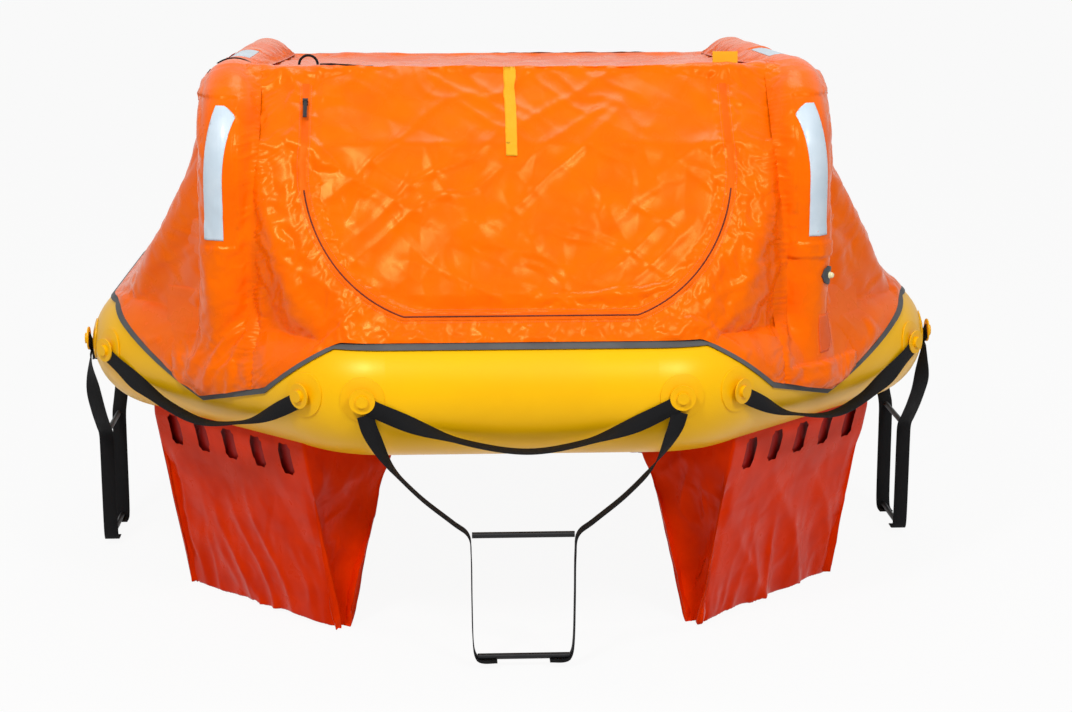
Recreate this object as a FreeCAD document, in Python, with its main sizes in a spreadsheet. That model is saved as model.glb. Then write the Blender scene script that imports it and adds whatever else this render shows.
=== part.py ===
import FreeCAD, Part
import math
import os

from FreeCAD import Placement, Rotation, Vector

# Inflatable canopied liferaft, floating at rest.
# Frame: millimetres, +Z up. The origin is the centre of the raft on the plane of the
# buoyancy tube's underside. The entrance faces -Y, and the sides are named as seen from there.
# The plan is a regular octagon. Each of its eight sides is described once, as the front side,
# and turned about Z to its own bearing.

SIZES = [
    # alias, value, meaning
    ("side_distance", 910, "centre to the tube's centreline, square to a side"),
    ("inner_corner", 20, "plan radius inside a corner of the tube"),
    ("tube_radius", 150, "buoyancy tube"),
    ("fit_gap", 0.3, "clearance between neighbouring pieces"),
    ("floor_level", 20, "underside of the floor above the tube's underside"),
    ("floor_thickness", 4, "coated floor fabric with its inner layer"),
    ("arch_offset", 670, "arch tube's plane from the raft's middle"),
    ("arch_reach", 735, "arch leg's centreline from the raft's middle"),
    ("arch_height", 805, "centreline of the arch's top over its front shoulder"),
    ("arch_drop", 30, "fall of the arch's top from its front to its back shoulder"),
    ("arch_bend", 200, "bend radius of the arch's shoulders"),
    ("arch_radius", 62, "arch tube"),
    ("cloth_thickness", 3, "canopy cloth with its insulation"),
    ("hem_level", 278, "canopy hem on the four main sides"),
    ("hem_distance", 990, "canopy foot, square to a side"),
    ("lower_level", 480, "lower fold line of the canopy"),
    ("lower_front", 880, "lower fold line, distance of front and back"),
    ("lower_side", 870, "lower fold line, distance of left and right"),
    ("upper_level", 700, "upper fold line of the canopy"),
    ("upper_front", 765, "upper fold line, distance of front and back"),
    ("upper_side", 765, "upper fold line, distance of left and right"),
    ("roof_level", 862, "front edge of the roof panel between the arches"),
    ("roof_drop", 72, "fall of the roof panel from its front to its back edge"),
    ("roof_front", 600, "roof panel, distance of its front and back edge"),
    ("roof_side", 715, "roof panel, distance of its left and right edge"),
    ("roof_corner", 590, "half length of the roof's front edge"),
    ("hem_band", 15, "width of the canopy's glued hem"),
    ("tongue_level", 103, "lowest point of the hem over an arch foot"),
    ("tongue_start", 400, "where the hem starts to dip, from a side's middle"),
    ("tongue_knee", 235, "where the hem turns up again"),
    ("tongue_knee_level", 160, "height of the hem where it turns up again"),
    ("trim_width", 13, "grey edge tape under the hem"),
    ("trim_thickness", 4, "grey edge tape"),
    ("door_half_width", 490, "entrance flap"),
    ("door_top", 825, "upper edge of the entrance flap"),
    ("door_shoulder", 700, "height where the flap starts to narrow"),
    ("door_bottom", 331, "lower edge of the entrance flap"),
    ("door_bottom_half", 265, "half length of the flap's straight lower edge"),
    ("zip_width", 16, "zip tape and its coil"),
    ("zip_thickness", 5, "zip tape and its coil"),
    ("slider_length", 16, "zip slider along the zip"),
    ("slider_width", 12, "zip slider"),
    ("slider_height", 6, "zip slider"),
    ("slider_drop", 40, "slider below the flap's upper edge, closed"),
    ("pull_length", 42, "zip pull"),
    ("pull_width", 9, "zip pull"),
    ("pull_thickness", 2.5, "zip pull"),
    ("tie_length", 190, "yellow strap that holds the rolled flap, measured down"),
    ("tie_width", 27, "yellow strap"),
    ("tape_length", 303, "reflective tape on an arch leg"),
    ("tape_width", 50, "reflective tape"),
    ("tape_middle", 632, "middle of the leg tapes"),
    ("tape_bearing", 30, "leg tapes, turned outward from the front and back"),
    ("crest_tape_middle", 200, "crest tapes in front of the raft's middle"),
    ("tape_thickness", 1.2, "reflective tape"),
    ("band_reach", 500, "strap over the left arch, in front of the raft's middle"),
    ("band_width", 12, "strap over the left arch"),
    ("roof_strap_length", 125, "flat strap on the roof's front edge"),
    ("roof_strap_width", 25, "flat strap on the roof's front edge"),
    ("roof_strap_across", -398, "middle of the flat roof strap"),
    ("loop_radius", 22, "thin loop beside the roof strap"),
    ("loop_wire", 3, "thin loop beside the roof strap"),
    ("tab_length", 60, "yellow tab on the roof's front edge"),
    ("tab_height", 28, "yellow tab on the roof's front edge"),
    ("tab_across", 505, "middle of the yellow tab"),
    ("roof_edge_inset", 28, "straps and tab behind the roof's front edge"),
    ("patch_radius", 50, "lifeline patch on the tube"),
    ("patch_level", 161, "middle of the lifeline patches"),
    ("patch_inset", 81, "patch from the corner of the octagon"),
    ("patch_thickness", 2.5, "lifeline patch"),
    ("webbing_width", 38, "lifeline webbing"),
    ("webbing_thickness", 3, "lifeline and ladder webbing"),
    ("lifeline_sag", 117, "drop of a lifeline's middle below its ends"),
    ("button_radius", 29, "disc that holds the webbing to a patch"),
    ("button_thickness", 3, "disc that holds the webbing to a patch"),
    ("stud_radius", 13.5, "stud in the middle of a disc"),
    ("stud_height", 7, "stud in the middle of a disc"),
    ("ladder_width", 40, "ladder webbing"),
    ("ladder_inset", 8, "inner edge of the ladder webbing inside the tube's outer face"),
    ("ladder_top", 120, "upper end of the ladder webbing"),
    ("ladder_spread", 357, "upper ends of the webbing from the ladder's middle"),
    ("ladder_half", 116, "inside of the webbing from the ladder's middle"),
    ("upper_rung_level", -151, "upper ladder rung"),
    ("lower_rung_level", -440, "lower ladder rung"),
    ("lower_rung_half", 105, "half length of the lower rung"),
    ("ladder_sag", 26, "bow of the slanting webbing"),
    ("rung_radius", 7, "ladder rung"),
    ("pocket_half", 280, "half length of a water pocket"),
    ("pocket_outer", 985, "pocket's outer wall at the tube"),
    ("pocket_inner", 682, "pocket's inner wall at the floor"),
    ("pocket_foot_outer", 885, "pocket's outer wall at its foot"),
    ("pocket_foot_inner", 848, "pocket's inner wall at its foot"),
    ("pocket_depth", 465, "pocket's foot below the tube's underside"),
    ("pocket_wall", 3, "pocket cloth"),
    ("slot_count", 5, "filling slots in a pocket"),
    ("slot_pitch", 102, "spacing of the filling slots"),
    ("slot_width", 45, "filling slot"),
    ("slot_height", 78, "filling slot"),
    ("slot_level", -32, "middle of the filling slots"),
    ("inlet_distance", 872, "inlet valve, square to the back side"),
    ("inlet_radius", 20, "inlet valve under the tube"),
    ("bottle_radius", 57, "gas cylinder"),
    ("bottle_length", 300, "gas cylinder between the ends of its straight wall"),
    ("bottle_distance", 560, "gas cylinder behind the raft's middle"),
    ("bottle_drop", 4, "gas cylinder below the floor"),
    ("strap_thickness", 2.5, "webbing round the gas cylinder"),
    ("strap_width", 40, "webbing round the gas cylinder"),
    ("neck_radius", 14, "neck of the gas cylinder"),
    ("neck_length", 26, "neck of the gas cylinder"),
    ("head_length", 62, "operating head"),
    ("head_width", 44, "operating head"),
    ("head_height", 52, "operating head"),
    ("pipe_radius", 8, "inflation pipe"),
    ("pipe_bend", 24, "bend radius of the inflation pipe"),
    ("valve_radius", 26, "flange of the valves"),
    ("valve_thickness", 4, "flange of the valves"),
    ("valve_neck", 14, "neck of the topping-up valve"),
    ("valve_bore", 9, "bore of the topping-up valve"),
    ("cap_radius", 19, "cap of the topping-up valve"),
    ("cap_height", 16, "cap of the topping-up valve"),
    ("relief_radius", 17, "pressure relief valve"),
    ("relief_height", 14, "pressure relief valve"),
    ("valve_spacing", 150, "each inner valve from the middle of the back side"),
    ("bag_length", 430, "equipment bag"),
    ("bag_depth", 240, "equipment bag"),
    ("bag_height", 170, "equipment bag"),
    ("bag_distance", 470, "equipment bag behind the raft's middle"),
    ("eye_bore", 15, "painter eye, radius of its hole"),
    ("eye_rim", 12, "painter eye, steel around its hole"),
    ("eye_thickness", 8, "painter eye"),
    ("painter_patch_radius", 60, "painter patch"),
    ("painter_level", 150, "middle of the painter patch"),
    ("lamp_level", 384, "outside light on the right arch leg"),
    ("lamp_side", 44, "backing patch of the outside light"),
    ("lamp_bearing", 34, "outside light, turned from +X towards the front"),
    ("lamp_radius", 7, "lens of the outside light"),
    ("label_bearing", 28, "bare label patch, turned from +X towards the front"),
    ("label_level", 245, "middle of the bare label patch"),
    ("label_width", 60, "bare label patch"),
    ("label_height", 92, "bare label patch"),
]

doc = FreeCAD.newDocument("Liferaft")
sheet = doc.addObject("Spreadsheet::Sheet", "Sizes")
for row, (alias, amount, meaning) in enumerate(SIZES, start=1):
    sheet.set(f"A{row}", meaning)
    sheet.set(f"B{row}", str(amount))
    sheet.setAlias(f"B{row}", alias)
doc.recompute()


def size(alias):
    """Return a driving dimension from the sheet as a plain number."""
    return float(sheet.get(alias))


UP = Vector(0, 0, 1)
OUT = Vector(0, -1, 0)
RIGHT = Vector(1, 0, 0)

# Bearings of the eight sides, turned about Z from the front side.
BEARINGS = {
    "front": 0,
    "front_right": 45,
    "right": 90,
    "back_right": 135,
    "back": 180,
    "back_left": 225,
    "left": 270,
    "front_left": 315,
}
MAIN_SIDES = ["front", "right", "back", "left"]
CORNER_SIDES = ["front_right", "back_right", "back_left", "front_left"]
LADDER_SIDES = ["front", "right", "left"]
# The hem's knee lies nearer the front or the back, so it is mirrored on two corner sides.
KNEE_SIGN = {"front_left": 1, "back_right": 1, "front_right": -1, "back_left": -1}

HALF_SIDE = math.tan(math.pi / 8)
CORNER_BEND = size("tube_radius") + size("inner_corner")
OUTER_DISTANCE = size("side_distance") + size("tube_radius")
PATCH_OFFSET = OUTER_DISTANCE * HALF_SIDE - size("patch_inset")

finished = []


# ---------------------------------------------------------------- document helpers

def bind(item, **expressions):
    """Bind properties of a document object to expressions on the sheet."""
    for prop, expression in expressions.items():
        item.setExpression(prop, expression)
    return item


def feature(label, shape):
    """Add a shape worked out from the sheet as a helper object."""
    item = doc.addObject("Part::Feature", label)
    item.Label = label
    item.Shape = shape
    return item


def cut(label, base, tool):
    """Add the first object less the second."""
    item = doc.addObject("Part::Cut", label)
    item.Label = label
    item.Base = base
    item.Tool = tool
    return item


def common(label, base, tool):
    """Add what two objects share."""
    item = doc.addObject("Part::Common", label)
    item.Label = label
    item.Base = base
    item.Tool = tool
    return item


def fuse(label, *members):
    """Add several objects joined into one solid."""
    item = doc.addObject("Part::MultiFuse", label)
    item.Label = label
    item.Shapes = list(members)
    item.Refine = True
    return item


def group(label, members):
    """Add several objects as one compound of separate solids."""
    item = doc.addObject("Part::Compound", label)
    item.Label = label
    item.Links = list(members)
    return item


def cylinder(label, radius, height, placement):
    """Add a cylinder whose radius and height are expressions on the sheet."""
    item = doc.addObject("Part::Cylinder", label)
    item.Label = label
    bind(item, Radius=radius, Height=height)
    item.Placement = placement
    return item


def box(label, length, width, height, placement):
    """Add a box whose three sizes are expressions on the sheet."""
    item = doc.addObject("Part::Box", label)
    item.Label = label
    bind(item, Length=length, Width=width, Height=height)
    item.Placement = placement
    return item


def turned(side):
    """Return the placement that takes the front side to the named side."""
    return Placement(Vector(), Rotation(UP, BEARINGS[side]))


def prism(label, outline, near, far, side="front"):
    """Add a solid from an outline in the front's upright plane, between two distances."""
    face = feature(f"{label}_outline", Part.Face(outline))
    face.Placement = turned(side).multiply(Placement(Vector(0, -near, 0), Rotation()))
    item = doc.addObject("Part::Extrusion", label)
    item.Label = label
    item.Base = face
    item.DirMode = "Custom"
    item.Dir = turned(side).multVec(OUT)
    item.LengthFwd = far - near
    item.Solid = True
    return item


def polygon(points):
    """Return a closed wire through (across, height) points of the front's upright plane."""
    corners = [Vector(across, 0, height) for across, height in points]
    return Part.makePolygon(corners + corners[:1])


def finish(item):
    """Mark an object as a finished sub-part, which is written under its Label."""
    finished.append(item)
    return item


# ---------------------------------------------------------------- buoyancy tube

def tube_spine():
    """Return the closed centreline of the buoyancy tube, starting mid-front."""
    distance = size("side_distance")
    run = distance * HALF_SIDE - CORNER_BEND * HALF_SIDE
    bend_centre = distance - CORNER_BEND
    level = size("tube_radius")
    edges = []
    for bearing in BEARINGS.values():
        turn = Rotation(UP, bearing)
        bend = Rotation(UP, bearing + 22.5)
        next_turn = Rotation(UP, bearing + 45)
        start = turn.multVec(Vector(-run, -distance, level))
        end = turn.multVec(Vector(run, -distance, level))
        corner_axis = turn.multVec(Vector(run, -bend_centre, level))
        middle = corner_axis + bend.multVec(Vector(0, -CORNER_BEND, 0))
        after = next_turn.multVec(Vector(-run, -distance, level))
        edges.append(Part.makeLine(start, end))
        edges.append(Part.Arc(end, middle, after).toShape())
    return Part.Wire(edges)


def swept(label, spine, section_place, radius):
    """Add a round bar along a spine, its radius an expression on the sheet."""
    section = doc.addObject("Part::Circle", f"{label}_section")
    bind(section, Radius=radius)
    section.Placement = section_place
    item = doc.addObject("Part::Sweep", label)
    item.Label = label
    item.Sections = [section]
    item.Spine = (spine, [f"Edge{number + 1}" for number in range(len(spine.Shape.Edges))])
    item.Solid = True
    item.Frenet = False
    return item


spine = feature("tube_centreline", tube_spine())
SPINE_START = spine.Shape.OrderedVertexes[0].Point
SPINE_SECTION = Placement(SPINE_START, Rotation(UP, RIGHT))


def ring(label, growth="0"):
    """Add the buoyancy tube's form, grown outward by an expression."""
    return swept(label, spine, SPINE_SECTION, f"Sizes.tube_radius + {growth}")


def ring_skin(label, thickness):
    """Add a skin of a given thickness that lies one gap outside the buoyancy tube."""
    outer = ring(f"{label}_outside", f"Sizes.fit_gap + {thickness}")
    return cut(label, outer, tube_clearance)


buoyancy_tube = finish(ring("buoyancy_tube"))
tube_clearance = ring("tube_clearance", "Sizes.fit_gap")


def octagon(distance, level):
    """Return a level octagon of the given distance from centre to side."""
    half = distance * HALF_SIDE
    corners = []
    for bearing in BEARINGS.values():
        corners.append(Rotation(UP, bearing).multVec(Vector(half, -distance, level)))
    return Part.makePolygon(corners + corners[:1])


floor_outline = feature("floor_outline", Part.Face(octagon(size("side_distance"), size("floor_level"))))
floor_blank = doc.addObject("Part::Extrusion", "floor_blank")
floor_blank.Base = floor_outline
floor_blank.DirMode = "Custom"
floor_blank.Dir = UP
floor_blank.Solid = True
bind(floor_blank, LengthFwd="Sizes.floor_thickness")
finish(cut("floor_panel", floor_blank, tube_clearance))


# ---------------------------------------------------------------- arches

def arch_spine(across):
    """Return an arch's centreline, from inside the front of the tube to inside its back."""
    reach = size("arch_reach")
    bend = size("arch_bend")
    knee = size("arch_height") - bend
    foot = size("tube_radius")
    slope = math.atan2(size("arch_drop"), 2 * (reach - bend))
    front_centre = Vector(across, bend - reach, knee)
    back_centre = Vector(across, reach - bend, knee - size("arch_drop"))

    def on_shoulder(centre, angle):
        """Return the point of a shoulder's arc at an angle from the back's level."""
        return centre + Vector(0, bend * math.cos(angle), bend * math.sin(angle))

    front_foot = Vector(across, -reach, foot)
    front_bend = on_shoulder(front_centre, math.pi)
    front_mid = on_shoulder(front_centre, (math.pi * 3 / 2 - slope) / 2)
    front_top = on_shoulder(front_centre, math.pi / 2 - slope)
    back_top = on_shoulder(back_centre, math.pi / 2 - slope)
    back_mid = on_shoulder(back_centre, (math.pi / 2 - slope) / 2)
    back_bend = on_shoulder(back_centre, 0)
    back_foot = Vector(across, reach, foot)
    edges = [
        Part.makeLine(front_foot, front_bend),
        Part.Arc(front_bend, front_mid, front_top).toShape(),
        Part.makeLine(front_top, back_top),
        Part.Arc(back_top, back_mid, back_bend).toShape(),
        Part.makeLine(back_bend, back_foot),
    ]
    return Part.Wire(edges)


ARCHES = {"left": -size("arch_offset"), "right": size("arch_offset")}
arch_lines = {}
for hand, across in ARCHES.items():
    arch_lines[hand] = feature(f"arch_centreline_{hand}", arch_spine(across))


def arch_bar(label, hand, growth="0"):
    """Add an arch's round form, grown outward by an expression."""
    start = Placement(Vector(ARCHES[hand], -size("arch_reach"), size("tube_radius")), Rotation())
    return swept(label, arch_lines[hand], start, f"Sizes.arch_radius + {growth}")


for hand in ARCHES:
    bar = arch_bar(f"arch_bar_{hand}", hand)
    finish(cut(f"arch_tube_{hand}", bar, tube_clearance))


# ---------------------------------------------------------------- canopy

def canopy_sections(growth):
    """Return the canopy's level outlines from foot to roof, as (level, points)."""
    hem = size("hem_distance") + growth
    foot = hem * HALF_SIDE
    outlines = [
        (size("hem_level"), hem, foot, hem, foot),
        (
            size("lower_level"),
            size("lower_front") + growth,
            (foot + 2 * size("roof_corner")) / 3,
            size("lower_side") + growth,
            (foot + 2 * size("roof_corner")) / 3,
        ),
        (
            size("upper_level"),
            size("upper_front") + growth,
            size("roof_corner"),
            size("upper_side") + growth,
            size("roof_corner") + size("arch_radius") / 2,
        ),
        (
            size("roof_level") + growth,
            size("roof_front") + growth,
            size("roof_corner"),
            size("roof_side") + growth,
            size("roof_corner") - size("arch_radius") / 2,
        ),
    ]
    return outlines


def block_across(label, section, left, right):
    """Add a solid from a section of (distance in front of the middle, height), run across the raft."""
    corners = [Vector(left, -distance, height) for distance, height in section]
    outline = feature(f"{label}_outline", Part.Face(Part.makePolygon(corners + corners[:1])))
    item = doc.addObject("Part::Extrusion", label)
    item.Base = outline
    item.DirMode = "Custom"
    item.Dir = RIGHT
    item.LengthFwd = right - left
    item.Solid = True
    return item


def roof_height(distance):
    """Return the height of the roof panel's underside at a distance in front of the middle."""
    front = size("roof_front")
    return size("roof_level") - size("roof_drop") * (front - distance) / (2 * front)


def roof_room(label, growth):
    """Add the space under the roof, which falls towards the back."""
    front = size("roof_front")
    return block_across(label, [
        (FAR_FRONT, -FAR_FRONT),
        (FAR_FRONT, roof_height(front) + growth),
        (front, roof_height(front) + growth),
        (-FAR_FRONT, roof_height(-FAR_FRONT) + growth),
        (-FAR_FRONT, -FAR_FRONT),
    ], -FAR_FRONT, FAR_FRONT)


def canopy_body(label, growth, foot_drop=0):
    """Add the canopy's closed outer form, grown outward and carried on below its foot."""
    outlines = canopy_sections(growth)
    if foot_drop:
        foot, above = outlines[:2]
        share = foot_drop / (above[0] - foot[0])
        outlines[0] = tuple(low - (high - low) * share for low, high in zip(foot, above))
    sections = []
    for number, (level, front, front_half, side, side_half) in enumerate(outlines):
        corners = [
            Vector(-front_half, -front, level),
            Vector(front_half, -front, level),
            Vector(side, -side_half, level),
            Vector(side, side_half, level),
            Vector(front_half, front, level),
            Vector(-front_half, front, level),
            Vector(-side, side_half, level),
            Vector(-side, -side_half, level),
        ]
        sections.append(feature(f"{label}_outline_{number}", Part.makePolygon(corners + corners[:1])))
    item = doc.addObject("Part::Loft", f"{label}_walls")
    item.Sections = sections
    item.Solid = True
    item.Ruled = True
    return common(label, item, roof_room(f"{label}_roof_room", growth))


def hem_points(sign, drop, top):
    """Return the outline above the hem line of a corner side, the line lowered by drop."""
    wide = OUTER_DISTANCE * HALF_SIDE + 2 * size("trim_width")
    start = size("tongue_start")
    level = size("hem_level") - drop
    return [
        (sign * wide, top),
        (-sign * wide, top),
        (-sign * wide, level),
        (-sign * start, level),
        (0, size("tongue_level") - drop),
        (sign * size("tongue_knee"), size("tongue_knee_level") - drop),
        (sign * start, level),
        (sign * wide, level),
    ]


def above_hem(label, drop):
    """Add the room above the hem line all round the raft, the line lowered by drop."""
    top = size("hem_level") + size("hem_band")
    wide = OUTER_DISTANCE * HALF_SIDE
    near = size("side_distance")
    far = OUTER_DISTANCE + 2 * size("trim_width")
    members = []
    for side in MAIN_SIDES:
        level = size("hem_level") - drop
        outline = polygon([(-wide, level), (wide, level), (wide, top), (-wide, top)])
        members.append(prism(f"{label}_{side}", outline, near, far, side))
    for side in CORNER_SIDES:
        outline = polygon(hem_points(KNEE_SIGN[side], drop, top))
        members.append(prism(f"{label}_{side}", outline, near, far, side))
    return fuse(label, *members)


DOOR_BULGE = 0.3  # share of the lower corner's width and height that its arc cuts off


def door_outline(growth, lift=0):
    """Return the entrance flap's outline, its sides and foot grown outward and its top lifted."""
    half = size("door_half_width") + growth
    top = size("door_top") + lift
    shoulder = size("door_shoulder")
    bottom = size("door_bottom") - growth
    base = size("door_bottom_half")
    bulge_across = base + (half - base) * (1 - DOOR_BULGE)
    bulge_height = bottom + (shoulder - bottom) * DOOR_BULGE
    left_top = Vector(-half, 0, top)
    right_top = Vector(half, 0, top)
    left_shoulder = Vector(-half, 0, shoulder)
    right_shoulder = Vector(half, 0, shoulder)
    left_bulge = Vector(-bulge_across, 0, bulge_height)
    right_bulge = Vector(bulge_across, 0, bulge_height)
    left_base = Vector(-base, 0, bottom)
    right_base = Vector(base, 0, bottom)
    edges = [
        Part.makeLine(left_top, left_shoulder),
        Part.Arc(left_shoulder, left_bulge, left_base).toShape(),
        Part.makeLine(left_base, right_base),
        Part.Arc(right_base, right_bulge, right_shoulder).toShape(),
        Part.makeLine(right_shoulder, right_top),
        Part.makeLine(right_top, left_top),
    ]
    return Part.Wire(edges)


CLOTH = size("cloth_thickness")
GAP = size("fit_gap")
FAR_FRONT = size("hem_distance") + size("tube_radius")
ZIP_EDGE = size("zip_width") / 2
canopy_inside = canopy_body("canopy_inside", 0, foot_drop=size("tube_radius") / 2)
canopy_outside = canopy_body("canopy_outside", CLOTH)
canopy_clearance = canopy_body("canopy_clearance", CLOTH + GAP)
canopy_wall = cut("canopy_wall", canopy_outside, canopy_inside)

hem_skin = ring_skin("hem_skin", "Sizes.cloth_thickness")
hem_room = above_hem("hem_room", 0)
canopy_hem = common("canopy_hem", hem_skin, hem_room)
sleeves = [arch_bar(f"sleeve_{hand}", hand, "Sizes.cloth_thickness") for hand in ARCHES]
arch_room = [arch_bar(f"arch_room_{hand}", hand, "Sizes.fit_gap") for hand in ARCHES]
door_opening = prism("door_opening", door_outline(ZIP_EDGE + GAP, GAP), 0, FAR_FRONT)
cover_blank = fuse("cover_blank", canopy_wall, canopy_hem, *sleeves)
cover_room = fuse("cover_room", tube_clearance, *arch_room)
cover_closed = cut("cover_closed", cover_blank, cover_room)
cover_whole = cut("cover_whole", cover_closed, door_opening)

# The cover is sewn from nine panels, which meet at flat seams beside the arches.
COVER_SEAM = size("arch_offset") - size("arch_radius") - 4 * CLOTH
SEAM_STOPS = (-OUTER_DISTANCE, -COVER_SEAM, COVER_SEAM, OUTER_DISTANCE)
cover_panels = []
for row, (near, far) in enumerate(zip(SEAM_STOPS, SEAM_STOPS[1:])):
    for column, (left, right) in enumerate(zip(SEAM_STOPS, SEAM_STOPS[1:])):
        room = Part.makeBox(right - left, far - near, OUTER_DISTANCE, Vector(left, near, 0))
        panel_room = feature(f"panel_room_{row}_{column}", room)
        cover_panels.append(common(f"panel_{row}_{column}", cover_whole, panel_room))
finish(group("canopy_cover", cover_panels))

door_middle = prism("door_middle", door_outline(-ZIP_EDGE - GAP), 0, FAR_FRONT)
finish(common("door_flap", canopy_wall, door_middle))

zip_outside = canopy_body("zip_outside", size("zip_thickness"))
zip_wall = cut("zip_wall", zip_outside, canopy_inside)
zip_outer_edge = prism("zip_outer_edge", door_outline(ZIP_EDGE), 0, FAR_FRONT)
zip_inner_edge = prism("zip_inner_edge", door_outline(-ZIP_EDGE), 0, FAR_FRONT)
zip_room = cut("zip_room", zip_outer_edge, zip_inner_edge)
finish(common("door_zip", zip_wall, zip_room))

trim_skin = ring_skin("trim_skin", "Sizes.trim_thickness")
trim_room = cut(
    "trim_room",
    above_hem("trim_room_outside", size("trim_width") + GAP),
    above_hem("trim_room_inside", GAP),
)
finish(common("edge_trim", trim_skin, trim_room))


# ---------------------------------------------------------------- zip slider and pull

def facet_edge(growth, number):
    """Return (distance, level) of the front wall at one of the canopy's outlines."""
    level, front = canopy_sections(growth)[number][:2]
    return front, level


LOW_DISTANCE, LOW_LEVEL = facet_edge(size("zip_thickness"), 2)
HIGH_DISTANCE, HIGH_LEVEL = facet_edge(size("zip_thickness"), 3)
ZIP_UP = Vector(0, LOW_DISTANCE - HIGH_DISTANCE, HIGH_LEVEL - LOW_LEVEL).normalize()
ZIP_OUT = RIGHT.cross(ZIP_UP)
SLIDER_LEVEL = size("door_top") - size("slider_drop")
SLIDER_REACH = (SLIDER_LEVEL - LOW_LEVEL) / ZIP_UP.z
SLIDER_SEAT = Vector(-size("door_half_width"), -LOW_DISTANCE, LOW_LEVEL) + ZIP_UP * SLIDER_REACH
SLIDER_TURN = Rotation(RIGHT, ZIP_UP, ZIP_OUT, "XYZ")
SLIDER_FRAME = Placement(SLIDER_SEAT + ZIP_OUT * GAP, SLIDER_TURN)
PIN_RADIUS = size("pull_thickness") / 2
EYE_RADIUS = PIN_RADIUS + GAP + size("pull_thickness")
PIN_LIFT = size("slider_height") + EYE_RADIUS + GAP


def on_slider(across, along, lift, turn=None):
    """Return a placement given in the slider's own frame."""
    return SLIDER_FRAME.multiply(Placement(Vector(across, along, lift), turn or Rotation()))


ACROSS_SLIDER = Rotation(UP, RIGHT)
slider_block = box(
    "slider_block",
    "Sizes.slider_width",
    "Sizes.slider_length",
    "Sizes.slider_height",
    on_slider(-size("slider_width") / 2, -size("slider_length") / 2, 0),
)
slider_pin = cylinder(
    "slider_pin",
    "Sizes.pull_thickness / 2",
    "Sizes.slider_width",
    on_slider(-size("slider_width") / 2, 0, PIN_LIFT, ACROSS_SLIDER),
)
EAR = size("slider_width") / 6
ears = []
for hand, start in (("left", -size("slider_width") / 2), ("right", size("slider_width") / 2 - EAR)):
    ear_place = on_slider(start, -EYE_RADIUS, size("slider_height") / 2)
    ear_height = f"Sizes.slider_height / 2 + {PIN_LIFT - size('slider_height') + EYE_RADIUS / 2}"
    ear_length = f"{2 * EYE_RADIUS}"
    ears.append(box(f"slider_ear_{hand}", "Sizes.slider_width / 6", ear_length, ear_height, ear_place))
finish(fuse("zip_slider", slider_block, slider_pin, *ears))

EYE_WIDTH = size("slider_width") - 2 * EAR - 2 * GAP
pull_eye = cylinder(
    "pull_eye",
    f"{EYE_RADIUS}",
    f"{EYE_WIDTH}",
    on_slider(-EYE_WIDTH / 2, 0, PIN_LIFT, ACROSS_SLIDER),
)
pull_bore = cylinder(
    "pull_bore",
    "Sizes.pull_thickness / 2 + Sizes.fit_gap",
    "Sizes.slider_width",
    on_slider(-size("slider_width") / 2, 0, PIN_LIFT, ACROSS_SLIDER),
)
NECK = 2 * EYE_RADIUS
pull_neck = box(
    "pull_neck",
    f"{EYE_WIDTH}",
    f"{NECK}",
    "Sizes.pull_thickness",
    on_slider(-EYE_WIDTH / 2, -NECK, PIN_LIFT - PIN_RADIUS),
)
pull_blade = box(
    "pull_blade",
    "Sizes.pull_width",
    "Sizes.pull_length",
    "Sizes.pull_thickness",
    on_slider(-size("pull_width") / 2, -NECK - size("pull_length"), PIN_LIFT - PIN_RADIUS),
)
pull_blank = fuse("pull_blank", pull_eye, pull_neck, pull_blade)
finish(cut("zip_pull", pull_blank, pull_bore))


# ---------------------------------------------------------------- straps, tapes and light on the canopy

def flat_strap(label, left, right, bottom, top, thickness):
    """Add a thin strap that lies on the front of the canopy."""
    outside = canopy_body(f"{label}_outside", CLOTH + GAP + thickness)
    skin = cut(f"{label}_skin", outside, canopy_clearance)
    outline = polygon([(left, bottom), (right, bottom), (right, top), (left, top)])
    return common(label, skin, prism(f"{label}_room", outline, size("roof_front") / 2, FAR_FRONT))


TIE_TOP = size("roof_level") - GAP
finish(flat_strap(
    "door_tie_strap",
    -size("tie_width"),
    0,
    TIE_TOP - size("tie_length"),
    TIE_TOP,
    size("webbing_thickness"),
))


def arch_skin(label, hand, thickness):
    """Add a skin of a given thickness that lies one gap outside an arch's sleeve."""
    inner = arch_bar(f"{label}_inside", hand, "Sizes.cloth_thickness + Sizes.fit_gap")
    outer = arch_bar(f"{label}_outside", hand, f"Sizes.cloth_thickness + Sizes.fit_gap + {thickness}")
    bare = cut(f"{label}_bare", outer, inner)
    return cut(label, bare, canopy_clearance)


def beside_arch(hand, reach, level, direction):
    """Return a placement on an arch's centreline whose Z points in a level direction."""
    upright = Rotation(UP.cross(direction), UP, direction, "ZYX")
    return Placement(Vector(ARCHES[hand], reach, level), upright)


SKIN_REACH = "Sizes.arch_radius * 2"
tape_rooms = {}
for hand, across in ARCHES.items():
    outward = math.copysign(1, across)
    rooms = []
    for end in (-1, 1):
        bearing = math.radians(size("tape_bearing"))
        facing = Vector(outward * math.sin(bearing), end * math.cos(bearing), 0)
        place = beside_arch(hand, end * size("arch_reach"), size("tape_middle"), facing)
        shift = Placement(Vector(-size("tape_width") / 2, -size("tape_length") / 2, 0), Rotation())
        name = f"tape_room_{hand}_{'front' if end < 0 else 'back'}"
        rooms.append(box(name, "Sizes.tape_width", "Sizes.tape_length", SKIN_REACH, place.multiply(shift)))
    corner = Vector(across - size("tape_width") / 2, -size("crest_tape_middle"), size("arch_height"))
    corner.y -= size("tape_length") / 2
    crest = Placement(corner, Rotation())
    rooms.append(box(f"tape_room_{hand}_crest", "Sizes.tape_width", "Sizes.tape_length", SKIN_REACH, crest))
    tape_rooms[hand] = group(f"tape_rooms_{hand}", rooms)

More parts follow.
